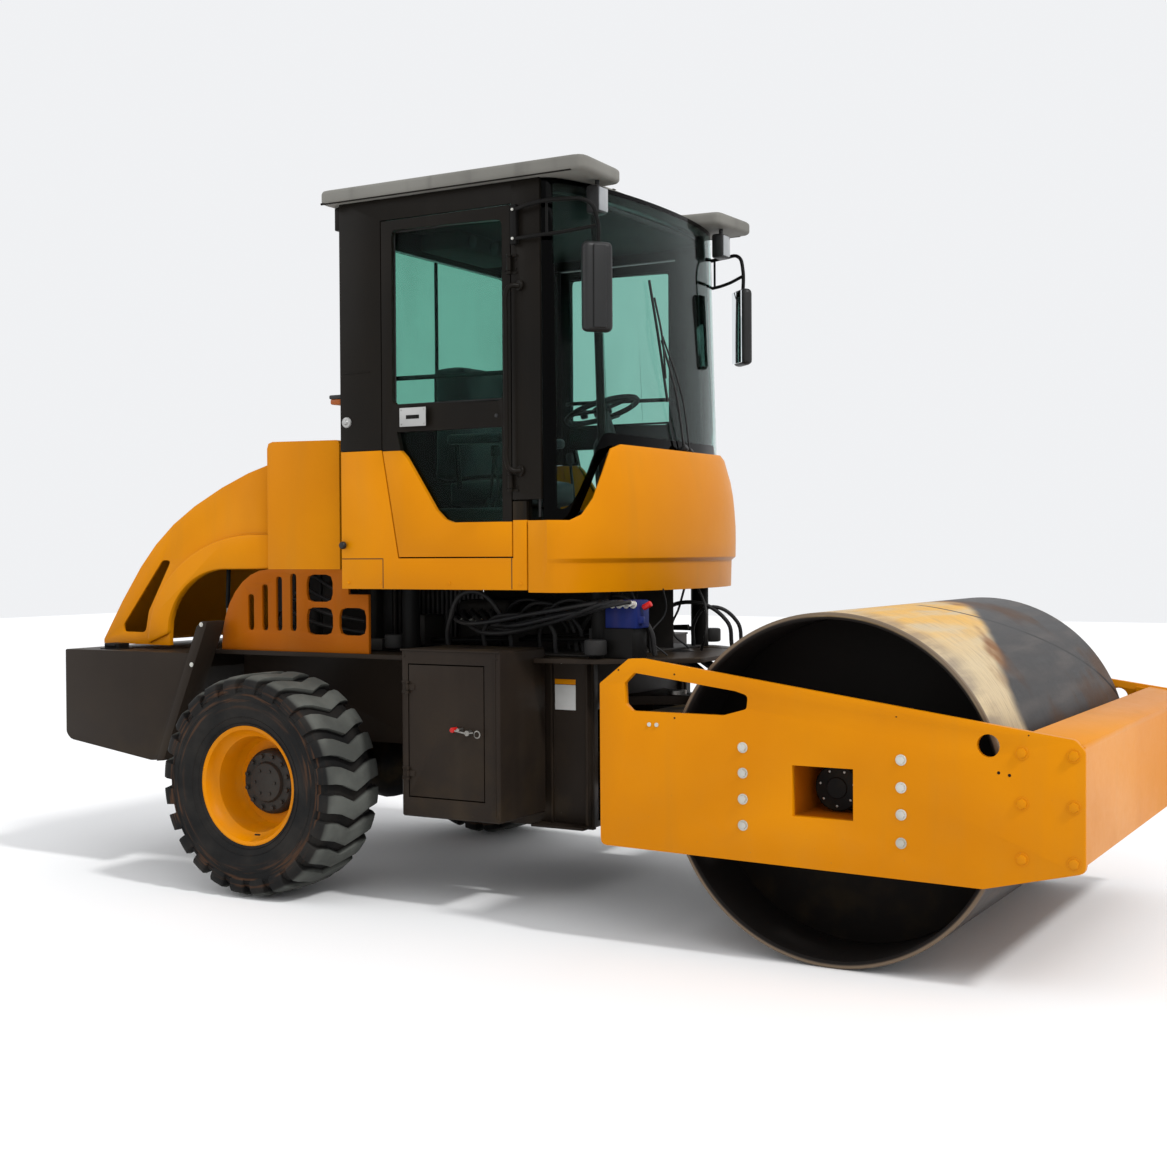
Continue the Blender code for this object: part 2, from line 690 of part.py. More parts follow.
def build_tank(body):
    """The rear tank, cast as the counterweight, with the two guards behind the wheels."""
    half = TANK_WIDTH / 2
    front = FRAME_REAR - TOUCH
    outline = rounded([
        (TANK_REAR, 0.690, 0.030), (TANK_REAR, 1.137, 0.010), (front, 1.137, 0.010), (front, 1.060, 0.010),
        (-3.735, 0.580, 0.010), (-3.800, 0.575, 0.050), (-4.390, 0.655, 0.060),
    ], 2)
    tank = prism("rear_tank", outline, -half, half, "brown", body)
    guard = [(-3.575, 1.000), (-3.465, 1.275), (-3.430, 1.302), (-3.395, 1.300), (-3.405, 1.265),
             (-3.700, 0.580), (-3.750, 0.575), (-3.740, 0.600)]
    for side in (-1, 1):
        join(tank, side_prism("guard_%+d" % side, guard, COWL_WIDTH / 2 + 0.030, half + 0.012, side,
                              "black", body))


def hood_line(offset=0.0):
    """The hood's outline over the top, from its front edge to its bottom rear corner."""
    points = [
        (HOOD_FRONT, 2.100), (-3.300, 2.055), (-3.480, 1.985), (-3.670, 1.893), (-3.820, 1.800),
        (-3.950, 1.693),
        (-4.060, 1.575), (-4.200, 1.390), (-4.340, 1.182),
    ]
    moved = []
    for i, point in enumerate(points):
        before = Vector(points[max(i - 1, 0)])
        after = Vector(points[min(i + 1, len(points) - 1)])
        run = (after - before).normalized()
        inward = Vector((-run[1], run[0]))
        moved.append(tuple(Vector(point) + inward * offset))
    return moved


def build_hood(body):
    """The one-piece tilting hood: a shell with an arched opening and a small rear opening in each side."""
    half = HOOD_WIDTH / 2
    outer = hood_line() + [(-4.340, HOOD_FOOT), (HOOD_FRONT, HOOD_FOOT)]
    hood = prism("engine_hood", outer, -half, half, "yellow", body)
    inner = hood_line(HOOD_WALL)
    inner = [(HOOD_FRONT + 0.1, inner[0][1])] + inner + [(-4.320, HOOD_FOOT - 0.1), (HOOD_FRONT + 0.1,
                                                                                     HOOD_FOOT - 0.1)]
    reach = half - HOOD_WALL
    for side in (-1, 1):
        band = [(HOOD_FRONT, 1.738)] + arc((-3.250, HOOD_FOOT), (0.735, 0.578), 90, 180, 10)
        band += [(-3.836, HOOD_FOOT)] + arc((-3.440, 1.220), (0.396, 0.339), 180, 90, 8) + [(HOOD_FRONT,
                                                                                             1.559)]
        join(hood, side_prism("arch_band_%+d" % side, band, half - 0.005, half + 0.016, side, "yellow",
                              body))
    cut(hood, prism("hood_inside", inner, -reach, reach, "yellow", body))
    past = half + 0.1
    arch = [(-3.842, HOOD_FOOT - 0.1)] + arc((-3.440, 1.220), (0.402, 0.345), 180, 90, 8)
    arch += [(HOOD_FRONT + 0.1, 1.565), (HOOD_FRONT + 0.1, HOOD_FOOT - 0.1)]
    rear = rounded([(-3.840, 1.610, 0.020), (-3.905, 1.610, 0.030), (-4.195, 1.262, 0.030),
                    (-4.190, 1.225, 0.020), (-4.030, 1.225, 0.030), (-4.005, 1.340, 0.060)])
    cut(hood, prism("arch_opening", arch, -past, past, "yellow", body),
        prism("rear_opening", rear, -past, past, "yellow", body))
    reach, knuckle, pin = HOOD_HINGE
    for side in (-1, 1):
        y = side * HOOD_HINGE_Y
        half_length = reach - 0.014
        join(
            hood,
            rod("hood_knuckle_%+d" % side, (HOOD_FRONT, y - half_length, HOOD_AXIS),
                (HOOD_FRONT, y + half_length, HOOD_AXIS), knuckle, "yellow", body, 10),
            box("hood_leaf_%+d" % side, (HOOD_FRONT - 0.050, y - half_length + 0.001, 2.070),
                (HOOD_FRONT - 0.002, y + half_length - 0.001, HOOD_AXIS + 0.004), "yellow", body),
        )
    cut(hood, rod("hood_hinge_bore", (HOOD_FRONT, -HOOD_WIDTH / 2, HOOD_AXIS), (HOOD_FRONT, HOOD_WIDTH / 2,
                                                                                HOOD_AXIS),
                  pin + RUNNING, "yellow", body, 16))


def build_cowl(body):
    """The fixed cover between cab and hood, open below and at the back."""
    half = COWL_WIDTH / 2
    foot = GRILLE_TOP + TOUCH
    outline = rounded([(COWL_REAR, foot, 0.001), (COWL_REAR, 2.205, 0.035), (COWL_FRONT, 2.198, 0.020),
                       (COWL_FRONT, foot, 0.001)], 2)
    cowl = prism("hood_cowl", outline, -half, half, "yellow", body)
    wall = 0.020
    inside = [(COWL_REAR - 0.1, GRILLE_TOP - 0.1), (COWL_REAR - 0.1, 2.080), (COWL_REAR + wall, 2.080),
              (COWL_REAR + wall, 2.185), (COWL_FRONT - wall, 2.178), (COWL_FRONT - wall, GRILLE_TOP - 0.1)]
    cut(cowl, prism("cowl_inside", inside, -half + wall, half - wall, "yellow", body))
    reach, ear, pin = HOOD_HINGE
    for side in (-1, 1):
        y = side * HOOD_HINGE_Y
        join(cowl, rod("hood_pin_%+d" % side, (HOOD_FRONT, y - reach, HOOD_AXIS), (HOOD_FRONT, y + reach,
                                                                                   HOOD_AXIS),
                       pin, "yellow", body, 16))
        for end in (-1, 1):
            outer, inner = y + end * reach, y + end * (reach - 0.010)
            low, high = min(outer, inner), max(outer, inner)
            join(
                cowl,
                rod("hood_ear_%+d_%+d" % (side, end), (HOOD_FRONT, low, HOOD_AXIS), (HOOD_FRONT, high,
                                                                                     HOOD_AXIS),
                    ear, "yellow", body, 10),
                box("hood_ear_foot_%+d_%+d" % (side, end), (HOOD_FRONT, low + 0.001,
                                                            HOOD_AXIS - ear + 0.001),
                    (COWL_REAR + 0.008, high - 0.001, HOOD_AXIS + ear - 0.001), "yellow", body),
            )


def build_grilles(body):
    """Fixed side panels below cowl and hood: slots at the back, four round-cornered squares at the front."""
    outer = COWL_WIDTH / 2
    rear = arc((-3.130, 1.170), (0.312, GRILLE_TOP - 1.170), 180, 90, 8)
    outline = [(-3.442, DECK_TOP + 0.001 + TOUCH)] + rear
    outline += [(-2.620, GRILLE_TOP), (-2.620, CAB_BASE - 0.030), (-2.497, CAB_BASE - 0.030),
                (-2.497, DECK_TOP + 0.001 + TOUCH)]
    for side, word in ((-1, "right"), (1, "left")):
        panel = side_prism(word + "_grille", outline, outer - 0.018, outer, side, "orange", body)
        cutters = []
        for k in range(4):
            x = -3.245 + 0.0925 * k
            top = 1.437 + (0.105, 0.090, 0.050, 0)[3 - k]
            slot = rounded([(x - 0.020, 1.253, 0.018), (x + 0.020, 1.253, 0.018), (x + 0.020, top, 0.018),
                            (x - 0.020, top, 0.018)], 2)
            cutters.append(side_prism("slot_%s_%d" % (word, k), slot, outer - 0.1, outer + 0.1, side,
                                      "orange", body))
        for i in range(2):
            for j in range(2):
                x = -2.882 + 0.205 * i
                z = 1.239 + 0.163 * j
                if i and j:
                    continue
                hole = rounded([(x, z, 0.040), (x + 0.165, z, 0.040), (x + 0.165, z + 0.135, 0.040),
                                (x, z + 0.135, 0.040)], 2)
                cutters.append(side_prism("hole_%s_%d%d" % (word, i, j), hole, outer - 0.1, outer + 0.1,
                                          side,
                                          "orange", body))
        cut(panel, *cutters)


def build_engine(body):
    engine = box("engine", (-3.500 + 0.05, -0.330, 0.800), (-2.780, 0.330, 1.700), "steel", body)
    bevel(engine, 0.020)
    foot = FRAME_WIDTH / 2 - FRAME_PLATE - TOUCH
    for x in (-3.300, -2.950):
        join(engine, box("engine_foot_%.2f" % x, (x, -foot, 0.900), (x + 0.08, foot, 0.960), "steel", body))


def build_hinge(fixed, moving, x, y, height, side, sizes, colour, bodies):
    """A pin on the fixed piece and a knuckle on the moving one, about an upright axis outside the skin."""
    half, knuckle, pin, stand = sizes
    leaf = (y - 0.004, y + stand - knuckle / 2)
    tag = "%s_%.2f" % (moving.name, height)
    body = bodies[0]
    to_fixed, to_moving = (1, -1) if fixed_is_ahead(moving) else (-1, 1)
    axis = side * (y + stand)
    pieces = [rod("pin_" + tag, (x, axis, height - half), (x, axis, height + half), pin, colour, body, 8)]
    for end in (-1, 1):
        outer, inner = height + end * half, height + end * (half - 0.012)
        low, high = min(outer, inner), max(outer, inner)
        pieces.append(rod("lug_%s_%+d" % (tag, end), (x, axis, low), (x, axis, high), knuckle, colour,
                          body, 12))
        pieces.append(side_box("fixed_leaf_%s_%+d" % (tag, end), (x, x + to_fixed * 0.036), leaf,
                               (low + 0.001, high - 0.001), side, colour, body))
    join(fixed, *pieces)
    body = bodies[1]
    half -= 0.016
    join(
        moving,
        rod("knuckle_" + tag, (x, axis, height - half), (x, axis, height + half), knuckle, colour, body,
            12),
        side_box("leaf_" + tag, (x, x + to_moving * 0.036), leaf, (height - half + 0.001,
                                                                   height + half - 0.001),
                 side, colour, body),
    )
    cut(moving, rod("hinge_bore_" + tag, (x, axis, height - half - 0.1), (x, axis, height + half + 0.1),
                    pin + RUNNING, colour, body, 8))


def fixed_is_ahead(moving):
    """Cab doors hang on a post in front of them, toolbox doors on the case's rear edge."""
    return moving.name.endswith("door_frame")


def build_toolboxes(bodies):
    inner = BOX_OUTER - BOX_WIDTH
    rear, low, front, high = CASE_DOOR
    for side, word in ((-1, "right"), (1, "left")):
        body = bodies["rear_frame"]
        case = side_box(word + "_toolbox", (CASE_REAR, CASE_FRONT), (inner, BOX_OUTER),
                        (CASE_LOW, CASE_HIGH),
                        side, "brown", body)
        bevel(case, 0.008)
        cut(
            case,
            side_box(word + "_box_inside", (CASE_REAR + SHEET, CASE_FRONT - SHEET),
                     (inner + SHEET, BOX_OUTER - SHEET), (CASE_LOW + SHEET, CASE_HIGH - SHEET), side,
                     "brown", body),
            side_box(word + "_box_mouth", (rear - DOOR_GAP, front + DOOR_GAP), (BOX_OUTER - 0.05,
                                                                                BOX_OUTER + 0.05),
                     (low - DOOR_GAP, high + DOOR_GAP), side, "brown", body),
        )
        join(case, side_box(word + "_box_bracket", (-2.050, -1.750), (FRAME_WIDTH / 2 + TOUCH,
                                                                      inner + 0.002),
                            (0.600, 1.050), side, "brown", body))
        door = side_box(word + "_toolbox_door", (rear, front), (BOX_OUTER - CASE_DOOR_THICK, BOX_OUTER),
                        (low, high), side, "brown", bodies[word + "_box_door"])
        for height in BOX_HINGE_HEIGHTS:
            build_hinge(case, door, rear - DOOR_GAP / 2, BOX_OUTER, height, side, BOX_HINGE, "brown",
                        (body, bodies[word + "_box_door"]))


def build_cab_structure(body):
    half = CAB_WIDTH / 2
    skin_y = half - PANEL - TOUCH
    floor_outline = [(CAB_REAR + 0.03, -skin_y), (FRONT_POST - 0.08, -skin_y)]
    floor_outline += [tuple(offset_screen(a, COWL_TOP, -0.050).xy) for a in front_angles(-1.2, 1.2, 12)]
    floor_outline += [(FRONT_POST - 0.08, skin_y), (CAB_REAR + 0.03, skin_y)]
    floor = prism("cab_floor", floor_outline, CAB_BASE + 0.030, CAB_BASE + 0.065, "black", body, "z")
    foot = DECK_TOP + 0.001 + TOUCH
    for side in (-1, 1):
        join(
            floor,
            rod("mount_rear_%+d" % side, (-2.380, side * 0.560, foot), (-2.380, side * 0.560,
                                                                        CAB_BASE + 0.040), 0.045,
                "black", body, 16),
            rod("mount_front_%+d" % side, (-1.330, side * 0.520, foot), (-1.330, side * 0.520,
                                                                         CAB_BASE + 0.040), 0.045,
                "black", body, 16),
        )
    low = CAB_BASE + 0.065 + TOUCH
    rear_wall = box("cab_frame", (CAB_REAR, -half, 2.131), (CAB_REAR + REAR_WALL, half, CAB_TOP),
                    "cab_brown", body)
    inner_side = half - 0.055
    pieces = [box("rear_wall_low", (CAB_REAR, -skin_y, low), (CAB_REAR + REAR_WALL, skin_y, 2.150),
                  "cab_brown",
                  body)]
    for side in (-1, 1):
        pieces += [
            side_box("rear_post_%+d" % side, (CAB_REAR + 0.001, DOOR_REAR - DOOR_GAP), (inner_side, half),
                     (2.131, CAB_TOP - 0.001), side, "cab_brown", body),
            side_box("rear_post_low_%+d" % side, (CAB_REAR + 0.001, -2.400), (inner_side, skin_y),
                     (low, 2.140), side,
                     "cab_brown", body),
            side_box("door_sill_%+d" % side, (-2.410, FRONT_POST - 0.03), (inner_side, skin_y),
                     (low, 1.606), side,
                     "cab_brown", body),
            side_box("door_post_%+d" % side, (DOOR_FRONT + DOOR_GAP, FRONT_POST), (inner_side, half),
                     (1.880, CAB_TOP - 0.002), side, "cab_brown", body),
            side_box("door_post_low_%+d" % side, (DOOR_FRONT + DOOR_GAP + 0.001, FRONT_POST - 0.08),
                     (inner_side, skin_y), (low, 1.900), side, "cab_brown", body),
            side_box("door_head_%+d" % side, (CAB_REAR + 0.002, FRONT_POST - 0.001), (inner_side, half),
                     (DOOR_TOP + DOOR_GAP, CAB_TOP - 0.003), side, "cab_brown", body),
        ]
    around = front_angles(-math.pi / 2, math.pi / 2, 20)
    for name, z, low, high in (("front_header", CAB_TOP, CAB_TOP - 0.060, CAB_TOP - 0.004),
                               ("front_sill", COWL_TOP, 1.700, 1.760)):
        ring = [tuple(offset_screen(a, z, -0.010).xy) for a in around]
        ring += [tuple(offset_screen(a, z, -0.055).xy) for a in reversed(around)]
        pieces.append(prism(name, ring, low, high, "cab_brown", body, "z"))
    for side in (-1, 1):
        angle = front_angle(side * SCREEN_HALF)
        inset = -(GLASS + TOUCH + POST_RADIUS)
        pieces.append(rod("front_post_%+d" % side, offset_screen(angle, 1.730, inset),
                          offset_screen(angle, CAB_TOP - 0.030, inset), POST_RADIUS, "cab_brown", body, 12))
        pieces.append(side_box("nose_pad_%+d" % side, (NOSE_BACK + 0.010, FRONT_POST - 0.010),
                               (inner_side, GLASS_HALF + NOSE_STAND - NOSE_WALL - TOUCH), (1.560, 1.640),
                               side,
                               "cab_brown", body))
        pieces.append(side_box("sill_end_%+d" % side, (FRONT_POST - 0.10, FRONT_POST + 0.002),
                               (inner_side - 0.010, GLASS_HALF - 0.012), (1.699, 1.761), side, "cab_brown",
                               body))
    join(rear_wall, *pieces)
    half_width, low, high = REAR_WINDOW
    window = rounded([
        (-half_width, low, 0.06), (half_width, low, 0.06), (half_width, high, 0.06), (-half_width, high,
                                                                                      0.06),
    ])
    cut(rear_wall, prism("rear_window_cutter", window, CAB_REAR - 0.1, CAB_REAR + 0.1, "cab_brown", body,
                         "x"))
    middle = (low + high) / 2
    narrower = (half_width - TOUCH) / half_width
    lower = (high - middle - TOUCH) / (high - middle)
    pane = [(a * narrower, middle + (b - middle) * lower) for a, b in window]
    pane_rear = CAB_REAR + (REAR_WALL - GLASS) / 2
    prism("rear_glass", pane, pane_rear, pane_rear + GLASS, "glass", body, "x")
    return rear_wall


def build_side_panels(body):
    """Fixed panels below and behind each door, with the cover at the foot of the door pillar."""
    half = CAB_WIDTH / 2
    gap = DOOR_GAP
    outline = [
        (CAB_REAR, CAB_BASE), (-1.527, CAB_BASE), (-1.527, 1.873), (DOOR_FRONT + gap, 1.873),
        (DOOR_FRONT + gap, DOOR_FOOT - gap), (-2.238 - gap, DOOR_FOOT - gap), (DOOR_REAR - gap,
                                                                               DOOR_BELT + 0.004),
        (CAB_REAR, DOOR_BELT + 0.004),
    ]
    for side, word in ((-1, "right"), (1, "left")):
        side_prism(word + "_side_panel", outline, half - PANEL, half, side, "yellow", body)


def build_doors(bodies, posts):
    half = CAB_WIDTH / 2
    glass_foot = DOOR_GLASS_FOOT
    frame_outline = [
        (DOOR_REAR, DOOR_BELT), (DOOR_REAR, DOOR_TOP), (DOOR_FRONT, DOOR_TOP), (DOOR_FRONT, glass_foot),
        (-1.655, glass_foot), (-1.655, 2.212), (-2.245, 2.212), (-2.225, DOOR_BELT),
    ]
    panel_outline = [
        (DOOR_REAR, DOOR_BELT - TOUCH), (-2.238, DOOR_FOOT), (DOOR_FRONT, DOOR_FOOT),
        (DOOR_FRONT, glass_foot - TOUCH), (-1.930, glass_foot - TOUCH), (-1.975, 1.797), (-2.025, 1.842),
        (-2.195, 2.095), (-2.225, DOOR_BELT - TOUCH),
    ]
    glass_outline = [
        (-2.278, 2.250), (-2.278, 3.158), (-1.645, 3.158), (-1.645, 1.774), (-1.935, 1.774),
        (-1.985, 1.789),
        (-2.035, 1.834), (-2.210, 2.100), (-2.235, 2.140),
    ]
    upper = rounded([(-2.270, 2.343, 0.03), (-1.650, 2.330, 0.03), (-1.650, 3.150, 0.03),
                     (-2.270, 3.165, 0.03)])
    for side, word in ((-1, "right"), (1, "left")):
        body = bodies[word + "_door"]
        inner = half - DOOR_DEPTH
        frame = side_prism(word + "_door_frame", frame_outline, inner + GLASS + TOUCH, half, side,
                           "cab_brown", body)
        cut(frame, side_prism(word + "_upper_window", upper, inner - 0.1, half + 0.1, side, "cab_brown",
                              body))
        for height in DOOR_HINGE_HEIGHTS:
            build_hinge(posts, frame, DOOR_FRONT + DOOR_GAP / 2, half, height, side, DOOR_HINGE,
                        "cab_brown",
                        (bodies["rear_frame"], body))
        side_prism(word + "_door_panel", panel_outline, inner + GLASS + TOUCH, half, side, "yellow", body)
        side_prism(word + "_door_glass", glass_outline, inner, inner + GLASS, side, "glass", body)


def build_front(body):
    """The nose below the windshield, and the three front panes above it."""
    angles = front_angles(-math.pi / 2, math.pi / 2, 28)
    grid = []
    for angle in angles:
        low = [z for z, _ in NOSE_SWELL[:3]] + [1.690]
        top = cowl_height(angle)
        heights = low + [low[-1] + (top - low[-1]) * share for share in (0.25, 0.5, 0.75, 0.92, 1)]
        grid.append([nose_point(angle, z) for z in heights])
    ends = [[Vector((NOSE_BACK, p.y, p.z)) for p in grid[i]] for i in (0, -1)]
    skin("nose_panel", [ends[0]] + grid + [ends[1]], NOSE_WALL, "yellow", body)
    edge = front_angle(SCREEN_HALF)
    seal = 0.002
    panes = (("right_quarter_glass", 0.02 - math.pi / 2, -edge - seal, 8), ("windshield", -edge, edge, 16),
             ("left_quarter_glass", edge + seal, math.pi / 2 - 0.02, 8))
    for name, low, high, count in panes:
        grid = []
        for angle in front_angles(low, high, count):
            bottom = cowl_height(angle) - 0.030
            top = CAB_TOP - 0.004
            grid.append([screen_point(angle, bottom + (top - bottom) * k / 4) for k in range(5)])
        skin(name, grid, GLASS, "glass", body)


def build_roof(body):
    """The roof slab with a visor at each front corner; between them it is cut back behind the windshield."""
    half = ROOF_WIDTH / 2
    corners = [
        (CAB_REAR - 0.085, -half, 0.05), (-1.190, -half, 0.06), (-1.205, -0.520, 0.05),
        (-1.420, -0.500, 0.03),
        (-1.420, 0.500, 0.03), (-1.205, 0.520, 0.05), (-1.190, half, 0.06), (CAB_REAR - 0.085, half, 0.05),
    ]
    low = CAB_TOP + TOUCH
    roof = prism("cab_roof", rounded(corners), low, low + ROOF_THICKNESS, "grey", body, "z")
    bevel(roof, 0.012)


def build_interior(body):
    floor = CAB_BASE + 0.065 + TOUCH
    seat_half = SEAT_WIDTH / 2
    seat_x = -2.150
    base = box("seat_base", (seat_x - 0.20, -0.19, floor), (seat_x + 0.18, 0.19, 1.880), "black", body)
    bevel(base, 0.015)
    low, high = 1.880 + TOUCH, 2.000
    cushion = box("seat_cushion", (seat_x - 0.24, -seat_half, low), (seat_x + 0.26, seat_half, high),
                  "seat", body)
    bevel(cushion, 0.035, 2)
    outline = [(seat_x - 0.26, high + TOUCH), (seat_x - 0.13, high + TOUCH), (seat_x - 0.215, 2.600),
               (seat_x - 0.330, 2.600)]
    back = prism("seat_back", outline, -seat_half + 0.01, seat_half - 0.01, "seat", body)
    bevel(back, 0.035, 2)
    x = -1.610
    console = prism("steering_console", [(x + 0.08, floor), (x + 0.28, floor), (x + 0.20, 2.150),
                                         (x + 0.10, 2.220),
                                         (x + 0.03, 2.180)], -0.17, 0.17, "black", body)
    bevel(console, 0.020)
    centre = Vector((x, 0, 2.345))
    tilt = Vector((-0.32, 0, 0.947)).normalized()
    join(console, rod("steering_column", centre - tilt * 0.20, centre - tilt * 0.022, 0.030, "black", body,
                      16))
    build_steering_wheel(centre, tilt, body)


def build_steering_wheel(centre, axis, body):
    """A ring with three spokes and a hub, set square to the column."""
    turn = axis.to_track_quat("Z", "Y").to_matrix().to_4x4()
    place = Matrix.Translation(centre) @ turn
    radius, tube = WHEEL_DIAMETER / 2 - 0.014, 0.014
    bm = bmesh.new()
    rings = []
    steps, around = 32, 8
    for i in range(steps):
        a = 2 * math.pi * i / steps
        rings.append([
            bm.verts.new(place @ Vector((
                (radius + tube * math.cos(b)) * math.cos(a),
                (radius + tube * math.cos(b)) * math.sin(a),
                tube * math.sin(b),
            )))
            for b in (2 * math.pi * k / around for k in range(around))
        ])
    for i in range(steps):
        for k in range(around):
            bm.faces.new((rings[i][k], rings[i][(k + 1) % around],
                          rings[(i + 1) % steps][(k + 1) % around], rings[(i + 1) % steps][k]))
    wheel = add_object("steering_wheel", bm, "black", body)
    hub = rod("wheel_hub", place @ Vector((0, 0, -0.0215)), place @ Vector((0, 0, 0.018)), 0.045, "black",
              body, 16)
    join(wheel, hub)
    for k in range(3):
        a = math.radians(90 + 120 * k)
        end = place @ Vector((radius * math.cos(a), radius * math.sin(a), 0))
        join(wheel, rod("spoke_%d" % k, centre, end, 0.010, "black", body, 8))


def build_mirrors(body):
    half = CAB_WIDTH / 2
    for side, word in ((-1, "right"), (1, "left")):
        y = side * (half + 0.030)
        head_y = side * 0.780
        head = box(word + "_mirror", (-1.235, head_y - 0.090, 2.615), (-1.175, head_y + 0.090, 3.005),
                   "black", body)
        bevel(head, 0.022, 2)
        loop = [(-1.560, y, 3.200), (-1.330, y, 3.190), (-1.250, side * 0.840, 3.170),
                (-1.205, head_y, 3.120),
                (-1.205, head_y, 2.990)]
        lower = [(-1.560, y, 3.035), (-1.330, y, 3.085), (-1.250, side * 0.835, 3.090),
                 (-1.206, head_y, 3.080)]
        clamp = side_box(word + "_mirror_clamp", (-1.590, -1.540), (half + TOUCH, half + 0.045),
                         (3.015, 3.220), side,
                         "black", body)
        join(head, tube_path(word + "_arm", loop, 0.010, "black", body),
             tube_path(word + "_stay", lower, 0.009, "black", body), clamp)


def main():
    clear_scene()
    length_middle = (PLATE_FRONT + TANK_REAR) / 2
    machine = bpy.data.objects.new("machine", None)
    bpy.context.collection.objects.link(machine)
    machine["place"] = (0, 0, 0)
    machine.location = (-length_middle, 0, 0)
    bodies = {"rear_frame": machine}
    bodies["drum_frame"] = add_empty("steering_pivot", (PIVOT_X, 0, STEER_Z), machine)
    bodies["drum"] = add_empty("drum_axis", (0, 0, DRUM_RADIUS), bodies["drum_frame"])
    bodies["hood"] = add_empty("hood_hinge", (HOOD_FRONT, 0, HOOD_AXIS), machine)
    half = CAB_WIDTH / 2
    for side, word in ((-1, "right"), (1, "left")):
        bodies[word + "_wheel"] = add_empty(
            word + "_wheel_axis", (-WHEELBASE, side * TRACK / 2, TYRE_RADIUS), machine)
        bodies[word + "_door"] = add_empty(
            word + "_door_hinge", (DOOR_FRONT + DOOR_GAP / 2, side * (half + DOOR_HINGE[3]), 2.4), machine)
        bodies[word + "_box_door"] = add_empty(
            word + "_box_hinge", (CASE_DOOR[0] - DOOR_GAP / 2, side * (BOX_OUTER + BOX_HINGE[3]), 0.82),
            machine)
        bodies[word + "_cylinder"] = add_empty(word + "_cylinder_pin", steer_base(side), machine)
        bodies[word + "_rod"] = add_empty(word + "_rod_slide", steer_eye(side), bodies[word + "_cylinder"])
    build_drum(bodies["drum"])
    build_drum_frame(bodies["drum_frame"])
    build_wheels(bodies)
    build_steering_cylinders(bodies)
    root = bodies["rear_frame"]
    build_rear_axle(root)
    build_rear_frame(root)
    build_tank(root)
    build_hood(bodies["hood"])
    build_cowl(root)
    build_grilles(root)
    build_engine(root)
    build_toolboxes(bodies)
    posts = build_cab_structure(root)
    build_side_panels(root)
    build_doors(bodies, posts)
    build_front(root)
    build_roof(root)
    build_interior(root)
    build_mirrors(root)


main()
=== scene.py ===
import json
import math
import random

